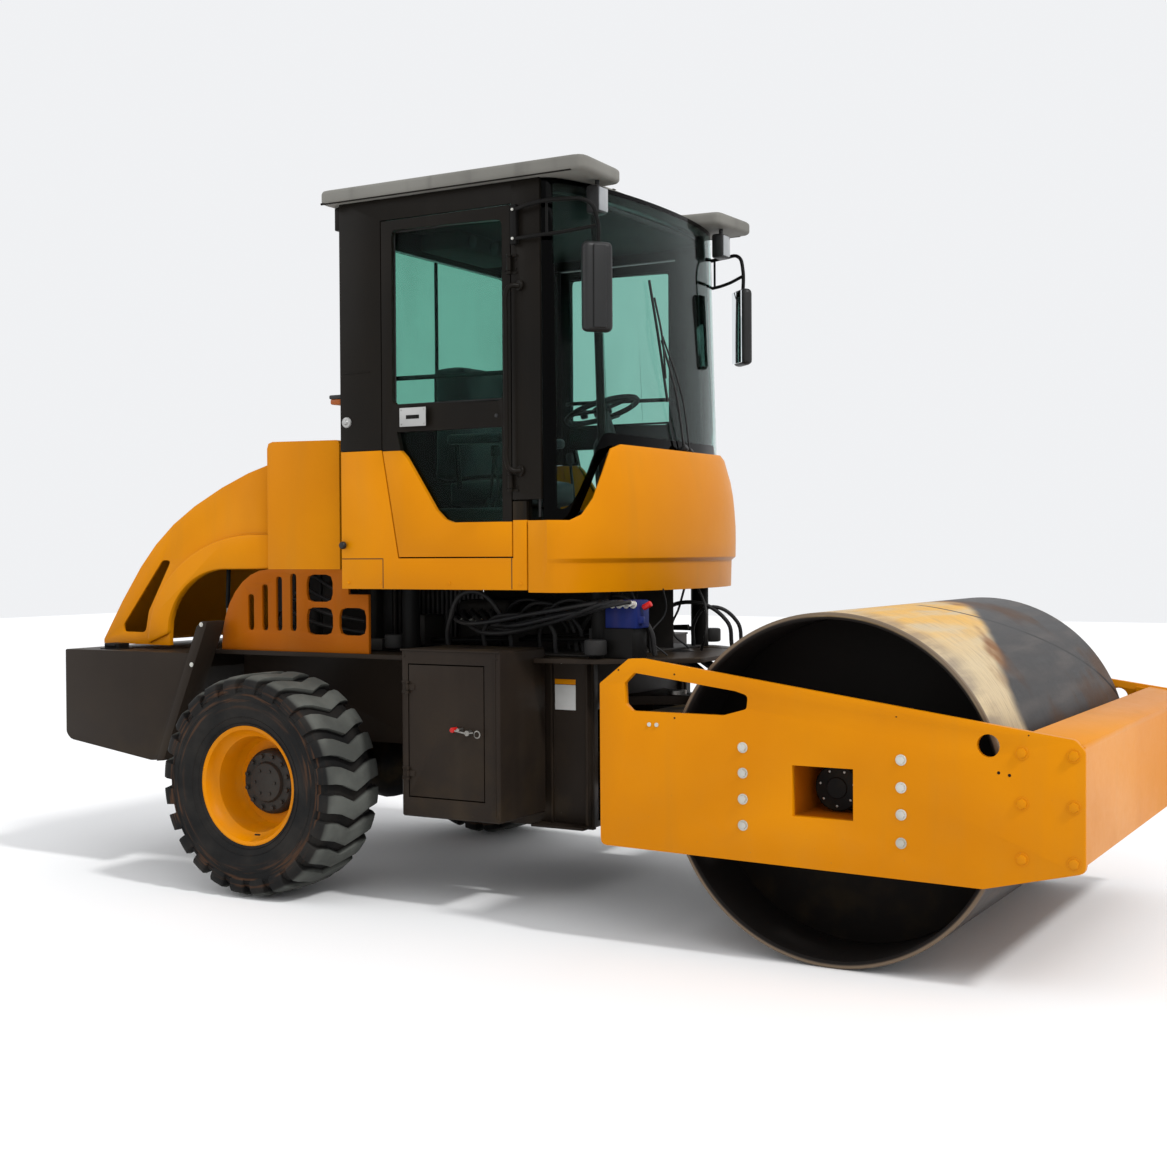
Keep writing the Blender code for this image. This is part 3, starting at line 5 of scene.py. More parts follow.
import bpy
from mathutils import Matrix, Vector
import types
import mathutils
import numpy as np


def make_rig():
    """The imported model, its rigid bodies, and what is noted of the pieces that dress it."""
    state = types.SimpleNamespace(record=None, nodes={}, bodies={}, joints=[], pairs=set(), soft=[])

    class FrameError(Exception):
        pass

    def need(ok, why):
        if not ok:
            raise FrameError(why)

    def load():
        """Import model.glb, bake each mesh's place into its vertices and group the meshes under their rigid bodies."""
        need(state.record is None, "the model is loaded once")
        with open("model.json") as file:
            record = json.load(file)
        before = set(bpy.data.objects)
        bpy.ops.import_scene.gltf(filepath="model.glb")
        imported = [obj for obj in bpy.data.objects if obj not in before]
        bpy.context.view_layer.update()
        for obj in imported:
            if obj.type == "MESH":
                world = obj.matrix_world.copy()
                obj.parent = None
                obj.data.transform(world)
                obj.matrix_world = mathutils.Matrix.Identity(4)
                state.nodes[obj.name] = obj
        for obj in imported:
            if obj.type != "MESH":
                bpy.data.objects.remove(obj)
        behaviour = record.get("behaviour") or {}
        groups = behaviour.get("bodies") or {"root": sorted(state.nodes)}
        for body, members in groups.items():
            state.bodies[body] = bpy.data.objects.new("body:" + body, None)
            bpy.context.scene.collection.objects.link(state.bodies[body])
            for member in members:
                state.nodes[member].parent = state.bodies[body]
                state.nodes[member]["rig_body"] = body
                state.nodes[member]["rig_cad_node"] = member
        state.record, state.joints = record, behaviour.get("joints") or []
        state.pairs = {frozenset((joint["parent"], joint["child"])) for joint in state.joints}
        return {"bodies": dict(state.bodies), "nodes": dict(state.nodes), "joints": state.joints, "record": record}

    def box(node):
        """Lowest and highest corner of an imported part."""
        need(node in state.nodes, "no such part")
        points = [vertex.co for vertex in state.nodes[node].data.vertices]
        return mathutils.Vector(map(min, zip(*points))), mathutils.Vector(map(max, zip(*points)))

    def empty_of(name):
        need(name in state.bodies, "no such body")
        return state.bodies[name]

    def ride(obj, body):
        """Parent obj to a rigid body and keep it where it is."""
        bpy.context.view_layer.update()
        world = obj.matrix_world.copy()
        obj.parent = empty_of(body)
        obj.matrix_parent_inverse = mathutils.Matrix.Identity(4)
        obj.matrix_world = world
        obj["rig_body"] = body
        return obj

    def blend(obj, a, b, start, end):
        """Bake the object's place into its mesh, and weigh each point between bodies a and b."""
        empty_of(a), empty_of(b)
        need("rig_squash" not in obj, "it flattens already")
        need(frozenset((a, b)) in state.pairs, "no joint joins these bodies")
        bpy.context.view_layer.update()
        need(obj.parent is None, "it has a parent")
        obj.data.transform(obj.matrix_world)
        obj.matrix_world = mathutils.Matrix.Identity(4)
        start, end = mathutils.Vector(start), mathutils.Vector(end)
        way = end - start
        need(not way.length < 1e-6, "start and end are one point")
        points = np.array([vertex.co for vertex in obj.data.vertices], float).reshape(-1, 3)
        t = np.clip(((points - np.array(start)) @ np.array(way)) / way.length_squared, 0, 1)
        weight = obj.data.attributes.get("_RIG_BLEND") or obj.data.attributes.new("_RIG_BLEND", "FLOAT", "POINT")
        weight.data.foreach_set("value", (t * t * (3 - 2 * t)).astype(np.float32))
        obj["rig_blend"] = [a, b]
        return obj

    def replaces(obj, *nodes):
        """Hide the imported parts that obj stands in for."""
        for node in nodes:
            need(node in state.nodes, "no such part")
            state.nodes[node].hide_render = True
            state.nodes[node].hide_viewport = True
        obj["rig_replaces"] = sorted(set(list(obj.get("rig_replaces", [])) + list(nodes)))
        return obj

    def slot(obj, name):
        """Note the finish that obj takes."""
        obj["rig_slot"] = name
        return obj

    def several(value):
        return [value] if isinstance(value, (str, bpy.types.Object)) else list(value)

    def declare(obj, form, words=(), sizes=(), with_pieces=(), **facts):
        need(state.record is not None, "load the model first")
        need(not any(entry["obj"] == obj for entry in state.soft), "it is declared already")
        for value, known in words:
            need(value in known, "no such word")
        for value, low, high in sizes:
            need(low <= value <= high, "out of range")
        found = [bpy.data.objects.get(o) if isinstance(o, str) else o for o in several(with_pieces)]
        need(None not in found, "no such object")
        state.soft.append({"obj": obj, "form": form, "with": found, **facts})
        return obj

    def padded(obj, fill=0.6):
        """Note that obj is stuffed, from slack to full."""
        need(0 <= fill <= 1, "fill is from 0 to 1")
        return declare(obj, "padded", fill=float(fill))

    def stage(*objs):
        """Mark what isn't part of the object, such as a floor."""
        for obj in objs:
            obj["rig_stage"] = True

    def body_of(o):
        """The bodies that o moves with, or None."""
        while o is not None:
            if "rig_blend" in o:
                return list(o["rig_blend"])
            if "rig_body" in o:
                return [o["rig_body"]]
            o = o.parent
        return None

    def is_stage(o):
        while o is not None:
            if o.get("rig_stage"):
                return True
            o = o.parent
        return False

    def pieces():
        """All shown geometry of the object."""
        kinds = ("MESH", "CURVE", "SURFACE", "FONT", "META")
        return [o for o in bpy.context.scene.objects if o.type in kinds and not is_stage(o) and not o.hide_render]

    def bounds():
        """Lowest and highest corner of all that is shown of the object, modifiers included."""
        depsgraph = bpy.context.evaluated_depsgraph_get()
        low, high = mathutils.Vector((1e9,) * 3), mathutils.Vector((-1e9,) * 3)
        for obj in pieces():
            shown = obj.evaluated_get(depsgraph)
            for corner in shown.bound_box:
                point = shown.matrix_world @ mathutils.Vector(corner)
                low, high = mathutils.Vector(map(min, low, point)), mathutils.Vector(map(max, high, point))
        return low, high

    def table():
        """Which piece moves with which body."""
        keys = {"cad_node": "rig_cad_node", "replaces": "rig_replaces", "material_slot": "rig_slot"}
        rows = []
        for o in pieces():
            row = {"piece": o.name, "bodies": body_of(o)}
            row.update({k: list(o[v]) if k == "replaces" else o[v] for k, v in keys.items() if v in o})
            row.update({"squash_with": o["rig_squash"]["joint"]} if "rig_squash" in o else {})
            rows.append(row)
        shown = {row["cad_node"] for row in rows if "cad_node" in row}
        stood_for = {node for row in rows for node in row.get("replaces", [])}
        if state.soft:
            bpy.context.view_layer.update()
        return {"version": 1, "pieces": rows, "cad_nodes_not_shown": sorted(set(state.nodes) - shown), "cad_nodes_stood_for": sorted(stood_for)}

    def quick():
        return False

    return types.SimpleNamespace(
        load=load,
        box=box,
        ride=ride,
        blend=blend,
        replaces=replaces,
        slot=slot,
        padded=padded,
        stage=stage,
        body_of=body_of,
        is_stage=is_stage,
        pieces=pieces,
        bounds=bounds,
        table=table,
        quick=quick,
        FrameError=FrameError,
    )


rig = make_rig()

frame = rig.load()
cadNodes = frame["nodes"]
cadBox = [list(corner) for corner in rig.bounds()]
drumLow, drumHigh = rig.box("drum_shell")
drumX = (drumLow.x + drumHigh.x) / 2  # lengths along X below are measured from the drum's axis
dice = random.Random(11)
sides = ((-1, "right"), (1, "left"))
print("frame loaded:", len(cadNodes), "nodes")


# ---- modelling helpers
def world(point):
    return Vector((point[0] + drumX, point[1], point[2]))


def useOnly(*objects):
    bpy.ops.object.select_all(action="DESELECT")
    for obj in objects:
        obj.select_set(True)
    bpy.context.view_layer.objects.active = objects[0]
    return objects[0]


def settle(name):
    obj = bpy.context.active_object
    obj.name = obj.data.name = name
    bpy.ops.object.transform_apply(location=True, rotation=True, scale=True)
    return obj


def applied(obj, kind, **settings):
    useOnly(obj)
    bpy.ops.object.modifier_add(type=kind)
    step = obj.modifiers[-1]
    for key, value in settings.items():
        setattr(step, key, value)
    bpy.ops.object.modifier_apply(modifier=step.name)
    return obj


def smooth(obj, angle=35):
    useOnly(obj)
    bpy.ops.object.shade_smooth_by_angle(angle=math.radians(angle))
    return obj


def softEdges(obj, width, segments=2, angle=35):
    limit = math.radians(30)
    applied(obj, "BEVEL", width=width, segments=segments, limit_method="ANGLE", angle_limit=limit)
    return smooth(obj, angle)


def block(name, low, high, edge=0.004, segments=2):
    low, high = world(low), world(high)
    bpy.ops.mesh.primitive_cube_add(size=1, location=(low + high) / 2)
    bpy.context.active_object.scale = [abs(a - b) for a, b in zip(high, low)]
    return softEdges(settle(name), edge, segments)


def bar(name, start, end, radius, count=20, edge=0.0, tip=None):
    start, end = world(start), world(end)
    along = end - start
    bpy.ops.mesh.primitive_cone_add(
        vertices=count, radius1=radius, radius2=radius if tip is None else tip, depth=along.length,
        location=(start + end) / 2, rotation=along.to_track_quat("Z", "Y").to_euler(),
    )
    obj = settle(name)
    return softEdges(obj, edge) if edge else smooth(obj)


def tube(name, points, radius, rings=3, turns=8):
    bpy.ops.curve.primitive_bezier_curve_add(radius=1, location=(0, 0, 0))
    obj = bpy.context.active_object
    curve = obj.data
    spline = curve.splines[0]
    spline.bezier_points.add(len(points) - 2)
    for knot, place in zip(spline.bezier_points, points):
        knot.co = world(place)
        knot.handle_left_type = knot.handle_right_type = "AUTO"
    curve.dimensions = "3D"
    curve.resolution_u = turns
    curve.bevel_depth = radius
    curve.bevel_resolution = rings
    curve.use_fill_caps = True
    useOnly(obj)
    bpy.ops.object.convert(target="MESH")
    obj = settle(name)
    repair(obj)
    return smooth(obj, 50)


def repair(obj, distance=0.00005):
    useOnly(obj)
    bpy.ops.object.mode_set(mode="EDIT")
    bpy.ops.mesh.select_all(action="SELECT")
    bpy.ops.mesh.remove_doubles(threshold=distance)
    bpy.ops.mesh.normals_make_consistent(inside=False)
    bpy.ops.object.mode_set(mode="OBJECT")
    return obj


def chain(points):
    # one vertex drawn out into a line of edges, left in edit mode with all of it selected
    bpy.ops.object.select_all(action="DESELECT")
    bpy.ops.mesh.primitive_plane_add(size=0.1, location=points[0])
    bpy.ops.object.mode_set(mode="EDIT")
    bpy.ops.mesh.merge(type="CENTER")
    for here, there in zip(points, points[1:]):
        bpy.ops.mesh.extrude_vertices_move(TRANSFORM_OT_translate={"value": there - here})
    bpy.ops.mesh.select_all(action="SELECT")


def plate(name, outline, low, high, axis="y", edge=0.003, segments=2):
    order = {"x": (1, 2, 0), "y": (0, 2, 1), "z": (0, 1, 2)}[axis]

    def place(a, b, c):
        spot = [0, 0, 0]
        for index, value in zip(order, (a, b, c)):
            spot[index] = value
        return Vector(spot)

    chain([world(place(a, b, low)) for a, b in outline])
    bpy.ops.mesh.edge_face_add()
    bpy.ops.mesh.extrude_region_move(TRANSFORM_OT_translate={"value": place(0, 0, high - low)})
    bpy.ops.mesh.select_all(action="SELECT")
    bpy.ops.mesh.normals_make_consistent(inside=False)
    bpy.ops.object.mode_set(mode="OBJECT")
    obj = settle(name)
    return softEdges(obj, edge, segments) if edge else smooth(obj)


def sidePlate(name, outline, inner, outer, side, edge=0.003):
    low, high = sorted((side * inner, side * outer))
    return plate(name, outline, low, high, "y", edge)


def rect(low, high):
    # the four corners of an outline from its lowest and highest
    return [low, (high[0], low[1]), high, (low[0], high[1])]


def wideBlock(name, x, middle, half, z, edge=0.004, segments=2):
    # a block that reaches half its width to each side of the middle
    return block(name, (x[0], middle - half, z[0]), (x[1], middle + half, z[1]), edge, segments)


def moved(obj, matrix):
    # takes a piece modelled at the drum's axis on the ground to its place
    obj.data.transform(matrix @ Matrix.Translation(-world((0, 0, 0))))
    return obj


def upright(point):
    # stands a piece turned about Y on end at a point
    return Matrix.Translation(world(point)) @ Matrix.Rotation(math.pi / 2, 4, "X")


def turned(name, profile, centre, steps=64, side=1, angle=35):
    # profile of (radius, distance along Y) spun about an axis along Y
    middle = world(centre)
    chain([middle + Vector((0, side * along, radius)) for radius, along in profile])
    bpy.ops.mesh.spin(steps=steps, angle=math.tau, center=middle, axis=(0, 1, 0), use_auto_merge=True)
    bpy.ops.object.mode_set(mode="OBJECT")
    obj = settle(name)
    repair(obj, 0.0001)
    return smooth(obj, angle)


def gather(name, objects):
    useOnly(*objects)
    if len(objects) > 1:
        bpy.ops.object.join()
    obj = bpy.context.active_object
    obj.name = obj.data.name = name
    return obj


def spread(name, model, matrices):
    made = []
    for matrix in matrices:
        one = model.copy()
        one.data = model.data.copy()
        one.data.transform(matrix)
        bpy.context.collection.objects.link(one)
        made.append(one)
    bpy.data.objects.remove(model)
    return gather(name, made)


def facing(direction):
    return Vector(direction).to_track_quat("Z", "Y").to_matrix().to_4x4()


def standing(point, direction):
    return Matrix.Translation(world(point)) @ facing(direction)


def fit(obj, finish, body="rear_frame"):
    obj.name = obj.data.name = obj.name.replace(" ", "_")
    if finish:
        obj.data.materials.clear()
        obj.data.materials.append(finishes[finish][0])
        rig.slot(obj, finishes[finish][1])
    if body:
        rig.ride(obj, body)
    return obj


def group(name, objects, finish, body="rear_frame"):
    return fit(gather(name, objects), finish, body)


def refined(node, finish, edge=0.003, segments=2, flat=1.0, angle=35):
    # a merged copy of a CAD node with eased edges, which stands for the node
    source = cadNodes[node]
    body = source["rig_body"]
    obj = source.copy()
    obj.data = source.data.copy()
    obj.parent = None
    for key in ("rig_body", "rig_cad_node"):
        del obj[key]
    bpy.context.collection.objects.link(obj)
    obj.name = obj.data.name = node + "_shown"
    obj.data.materials.clear()
    if obj.data.has_custom_normals:
        useOnly(obj)
        bpy.ops.mesh.customdata_custom_splitnormals_clear()
    repair(obj, 0.00002)
    bpy.ops.object.mode_set(mode="EDIT")
    bpy.ops.mesh.select_all(action="SELECT")
    bpy.ops.mesh.dissolve_limited(angle_limit=math.radians(flat))
    bpy.ops.object.mode_set(mode="OBJECT")
    if edge:
        softEdges(obj, edge, segments, angle)
    else:
        smooth(obj, angle)
    fit(obj, finish, body)
    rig.replaces(obj, node)
    return obj


# ---- materials
class Wire:
    def __init__(self, shop, socket):
        self.shop, self.socket = shop, socket

    def __add__(self, other):
        return self.shop.maths("ADD", self, other)

    def __sub__(self, other):
        return self.shop.maths("SUBTRACT", self, other)

    def __rsub__(self, other):
        return self.shop.maths("SUBTRACT", other, self)

    def __mul__(self, other):
        return self.shop.maths("MULTIPLY", self, other)

    def __truediv__(self, other):
        return self.shop.maths("DIVIDE", self, other)

    __radd__ = __add__
    __rmul__ = __mul__

    def rise(self, low, high):
        # 0 below low, 1 above high, smooth between
        spots = {0: self, 1: low, 2: high, 3: 0.0, 4: 1.0}
        return self.shop.node("ShaderNodeMapRange", spots, interpolation_type="SMOOTHSTEP")


class Shop:
    def __init__(self, name):
        self.material = bpy.data.materials.new(name)
        self.material.use_nodes = True
        self.tree = self.material.node_tree
        self.shader = self.tree.nodes["Principled BSDF"]
        self.place = self.node("ShaderNodeTexCoord", out="Object")

    def node(self, kind, sockets=None, out=0, **settings):
        made = self.tree.nodes.new(kind)
        for key, value in settings.items():
            setattr(made, key, value)
        for key, value in (sockets or {}).items():
            self.feed(made.inputs[key], value)
        return Wire(self, made.outputs[out])

    def feed(self, socket, value):
        if isinstance(value, Wire):
            self.tree.links.new(value.socket, socket)
        elif isinstance(value, tuple) and len(value) == 3 and len(socket.default_value) == 4:
            socket.default_value = (*value, 1)
        else:
            socket.default_value = value

    def maths(self, operation, *values):
        return self.node("ShaderNodeMath", dict(enumerate(values)), operation=operation)

    def mix(self, share, first, second):
        spots = {0: share, 6: first, 7: second}
        return self.node("ShaderNodeMix", spots, out=2, data_type="RGBA")

    def noise(self, scale, detail=3, where=None):
        spots = {"Vector": where or self.place, "Scale": scale, "Detail": detail}
        return self.node("ShaderNodeTexNoise", spots)

    def stretched(self, factors, centre=(0, 0, 0)):
        spots = {"Vector": self.place, "Scale": factors, "Location": centre}
        return self.node("ShaderNodeMapping", spots)

    def split(self, vector=None):
        cut = self.tree.nodes.new("ShaderNodeSeparateXYZ")
        self.feed(cut.inputs[0], vector or self.place)
        return [Wire(self, socket) for socket in cut.outputs]

    def faces(self):
        return self.split(self.node("ShaderNodeNewGeometry", out="Normal"))

    def upward(self):
        return self.faces()[2]

    def bump(self, height, strength, distance=0.002):
        spots = {"Height": height, "Strength": strength, "Distance": distance}
        return self.node("ShaderNodeBump", spots)

    def finish(self, **values):
        names = {
            "colour": "Base Color", "roughness": "Roughness", "metallic": "Metallic", "normal": "Normal",
            "coat": "Coat Weight", "coatRoughness": "Coat Roughness", "ior": "IOR", "sheen": "Sheen Weight",
            "transmission": "Transmission Weight", "specular": "Specular IOR Level",
        }
        for key, value in values.items():
            self.feed(self.shader.inputs[names[key]], value)
        return self.material


def paint(name, look):
    shop = Shop(name)
    z = shop.split()[2]
    broad = shop.noise(1.3, 4).rise(0.35, 0.68)
    fine = shop.noise(34, 3)
    grain = shop.noise(520, 1)
    streak = shop.noise(1.0, 3, shop.stretched((9, 9, 0.8)))
    dirt = shop.noise(7, 6).rise(0.42, 0.72)
    low = 1 - z.rise(0.1, look["dustTop"])
    dust = low * dirt * look["dust"] + shop.upward().rise(0.6, 1.0) * dirt * look["settled"]
    chips = shop.noise(85, 2).rise(0.74, 0.765) * low * look["chips"]
    colour = shop.mix(broad, look["colour"], look["shade"])
    if "second" in look:
        colour = shop.mix(look["where"](*shop.split()), colour, look["second"])
    colour = shop.mix(streak.rise(0.5, 0.8) * look["streaks"], colour, look["streakColour"])
    colour = shop.mix(dust, colour, look["dustColour"])
    colour = shop.mix(chips, colour, look["chipColour"])
    roughness = look["roughness"] + fine * 0.1 + dust * 0.45 + broad * 0.04
    normal = shop.bump(grain * 0.35 + fine * 0.65, look["peel"], 0.0015)
    return shop.finish(colour=colour, roughness=roughness, normal=normal, metallic=look["metallic"],
                       coat=look["coat"], coatRoughness=0.12, specular=look["specular"])


def inHood(x, y, z):
    # the pale primer on the inside of the hood's side walls, which face sideways, brightened as painted light to lift
    # the shade it sits in
    sideways = y.shop.maths("ABSOLUTE", y.shop.faces()[1]).rise(0.7, 0.9)
    return (1 - y.shop.maths("ABSOLUTE", y).rise(0.6895, 0.6905)) * sideways


def besidePillar(x, y, z):
    # the head of the narrow strip ahead of the door, in the pillar's colour
    return (x - (drumX - 1.607)).rise(-0.001, 0.001) * z.rise(1.786, 1.788)


basePaint = {
    "dustTop": 1.1, "dust": 0.08, "settled": 0.05, "chips": 0.5, "streaks": 0.1, "peel": 0.05,
    "dustColour": (0.33, 0.21, 0.06), "chipColour": (0.16, 0.12, 0.09), "streakColour": (0.3, 0.16, 0.03),
    "roughness": 0.28, "metallic": 0.0, "coat": 0.0, "specular": 0.07,
}
paintLooks = {
    "yellow": {"colour": (0.64, 0.228, 0.001), "shade": (0.59, 0.2, 0.001)},
    # the hood's pale inside is brightened as painted light to lift the shade it sits in
    "hoodYellow": {"second": (0.9, 0.54, 0.36), "where": inHood},
    "panelYellow": {"second": (0.01, 0.008, 0.006), "where": besidePillar},
    "inside": {
        "colour": (0.006, 0.005, 0.004), "shade": (0.009, 0.007, 0.006), "roughness": 0.6, "coat": 0.0,
        "specular": 0.1, "dust": 0.03, "settled": 0.0, "chips": 0.0, "streaks": 0.0,
    },
    # orange: the grille's own orange, darkened as painted shade; on the hub supports it is painted shade on plates of
    # the frame's yellow
    "orange": {"colour": (0.36, 0.092, 0.001), "shade": (0.29, 0.07, 0.001), "coat": 0.0,
               "roughness": 0.34},
    "rim": {"colour": (0.66, 0.232, 0.001), "shade": (0.6, 0.195, 0.001), "dust": 0.2, "dustTop": 1.4},
    "brown": {
        "colour": (0.025, 0.018, 0.013), "shade": (0.018, 0.013, 0.01), "roughness": 0.34, "specular": 0.09,
        "streakColour": (0.05, 0.04, 0.03), "chipColour": (0.08, 0.07, 0.06), "settled": 0.06,
        "dust": 0.04, "coat": 0.0,
    },
    "cab": {
        "colour": (0.01, 0.008, 0.006), "shade": (0.007, 0.006, 0.005), "roughness": 0.3, "specular": 0.08,
        "streakColour": (0.03, 0.025, 0.02), "dust": 0.04, "chips": 0.0, "settled": 0.04, "coat": 0.0,
    },
    "black": {
        "colour": (0.007, 0.0065, 0.006), "shade": (0.005, 0.005, 0.005), "roughness": 0.42, "coat": 0.0,
        "streakColour": (0.03, 0.025, 0.02), "chipColour": (0.06, 0.05, 0.04), "dust": 0.12,
        "settled": 0.08,
        "specular": 0.09,
    },
    "roof": {
        "colour": (0.21, 0.205, 0.185), "shade": (0.15, 0.145, 0.13), "roughness": 0.46, "coat": 0.0,
        "streakColour": (0.07, 0.065, 0.06), "streaks": 0.45, "settled": 0.35, "peel": 0.35,
        "dustColour": (0.3, 0.29, 0.26),
    },
    "blue": {"colour": (0.01, 0.02, 0.12), "shade": (0.008, 0.015, 0.085), "roughness": 0.35, "coat": 0.0},
}


def drumSteel():
    shop = Shop("drum steel")
    x, y, z = shop.split()
    forward, up = x - drumX, z - (drumLow.z + drumHigh.z) / 2
    angle = shop.maths("ARCTAN2", forward, up) * (180 / math.pi)  # degrees ahead of the top
    reach = shop.maths("SQRT", forward * forward + up * up)
    wobble = shop.noise(3.2, 5) - 0.5
    along = shop.node("ShaderNodeCombineXYZ", {0: angle * 0.06, 1: y * 0.7, 2: 0.0})
    rolled = shop.noise(2.2, 6, along)
    brushed = shop.noise(9, 4, shop.node("ShaderNodeCombineXYZ", {0: angle * 0.012, 1: y * 14, 2: 0.0}))
    # border of a painted sunlit patch over the top front of the drum; beyond it the drum's face is painted shadow
    border = 0.38 - 1.02 * angle.rise(0.0, 64.0) + wobble * 0.22
    sunlitPatch = (border - y).rise(-0.05, 0.09)
    front = angle.rise(-14.0, 0.0) * (1 - angle.rise(86.0, 120.0))
    sunlitPatch = sunlitPatch * front
    gold = (1 - angle.rise(16.0, 46.0)) * rolled.rise(0.3, 0.6)
    # pale: painted sunlit steel, with the real gold paint and the brushed, rolled and brown patches mixed in
    pale = shop.mix(gold, (0.56, 0.44, 0.26), (0.7, 0.385, 0.06))
    pale = shop.mix(brushed.rise(0.48, 0.7) * 0.6, pale, (0.24, 0.165, 0.125))
    nearRim = (-0.8 - y).rise(0.0, 0.22)
    pale = shop.mix(nearRim * rolled.rise(0.35, 0.6) * 0.7, pale, (0.2, 0.155, 0.12))
    foot = angle.rise(58.0, 84.0) * rolled.rise(0.25, 0.6)
    pale = shop.mix(foot * 0.75, pale, (0.175, 0.125, 0.085))
    # dark: painted shadow over the rest of the drum's face, with real rust and brush marks in it
    dark = shop.mix(rolled.rise(0.42, 0.7), (0.024, 0.022, 0.022), (0.075, 0.065, 0.06))
    rust = shop.noise(1.9, 5, shop.stretched((1, 1, 1), (3.1, 0.7, 0.4))).rise(0.52, 0.66)
    dark = shop.mix(rust * 0.55, dark, (0.115, 0.052, 0.02))
    dark = shop.mix(brushed.rise(0.5, 0.75) * 0.35, dark, (0.11, 0.1, 0.095))
    fringe = 1 - shop.maths("ABSOLUTE", border - 0.06 - y).rise(0.05, 0.16)
    # painted sunlight inside the border, painted shadow outside it
    colour = shop.mix(sunlitPatch, dark, pale)
    colour = shop.mix(fringe * front * rust, colour, (0.2, 0.085, 0.028))
    # a thin black line slanting across the drum: a painted shadow line
    path = 1.22 * angle.rise(8.0, 80.0) - 0.12
    line = 1 - shop.maths("ABSOLUTE", y - path).rise(0.013, 0.021)
    line = line * angle.rise(2.0, 5.0) * (1 - angle.rise(74.0, 78.0))
    colour = shop.mix(line * 0.97, colour, (0.006, 0.005, 0.005))
    wall = 1 - reach.rise(0.68, 0.69)
    edgeRing = shop.maths("ABSOLUTE", y).rise(1.05, 1.062)
    colour = shop.mix(edgeRing * (1 - wall), colour, (0.17, 0.125, 0.085))
    colour = shop.mix(wall, colour, (0.01, 0.008, 0.007))
    roughness = 0.34 + rolled * 0.22 + wall * 0.3 + rust * 0.12
    metallic = (1 - wall) * (0.36 - sunlitPatch * 0.32)
    scratches = shop.noise(60, 3, shop.node("ShaderNodeCombineXYZ", {0: angle * 0.01, 1: y * 10, 2: 0.0}))
    normal = shop.bump(rolled * 0.6 + scratches * 0.4, 0.22, 0.004)
    return shop.finish(colour=colour, roughness=roughness, metallic=metallic, normal=normal, specular=0.16)


def tyreRubber():
    shop = Shop("tyre rubber")
    x, y, z = shop.split()
    wheelLow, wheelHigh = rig.box("right_tyre")
    centre = (wheelLow + wheelHigh) / 2
    ahead, up = x - centre.x, z - centre.z
    reach = shop.maths("SQRT", ahead * ahead + up * up)
    blotch = shop.noise(5, 6).rise(0.38, 0.7)
    fine = shop.noise(90, 3)
    ring = shop.noise(2.4, 4, shop.node("ShaderNodeCombineXYZ", {0: reach * 26, 1: ahead * 2, 2: up * 2}))
    tread = reach.rise(0.505, 0.522)
    wall = reach.rise(0.36, 0.41) * (1 - reach.rise(0.465, 0.5))
    colour = shop.mix(blotch, (0.01, 0.01, 0.01), (0.022, 0.02, 0.018))
    colour = shop.mix(wall * ring.rise(0.5, 0.66) * 0.65, colour, (0.085, 0.04, 0.02))
    colour = shop.mix(tread * (0.55 + blotch * 0.4), colour, (0.115, 0.12, 0.108))
    sunk = 1 - reach.rise(0.485, 0.505)
    colour = shop.mix(sunk * tread, colour, (0.012, 0.011, 0.01))
    roughness = 0.58 + fine * 0.18 + tread * 0.08
    normal = shop.bump(fine * 0.5 + shop.noise(18, 4) * 0.5, 0.25, 0.003)
    return shop.finish(colour=colour, roughness=roughness, normal=normal, specular=0.1)


def plain(name, look):
    shop = Shop(name)
    fine = shop.noise(look.get("scale", 160), 3)
    broad = shop.noise(4, 4).rise(0.35, 0.7)
    colour = shop.mix(broad, look["colour"], look["shade"])
    if "second" in look:
        colour = shop.mix(look["where"](*shop.split()), colour, look["second"])
    extra = {key: look[key] for key in ("coat", "sheen") if key in look}
    extra["specular"] = look.get("specular", 0.3)
    return shop.finish(colour=colour, roughness=look["roughness"] + fine * look.get("spread", 0.12),
                       metallic=look.get("metallic", 0.0),
                       normal=shop.bump(fine, look.get("relief", 0.15), 0.001), **extra)


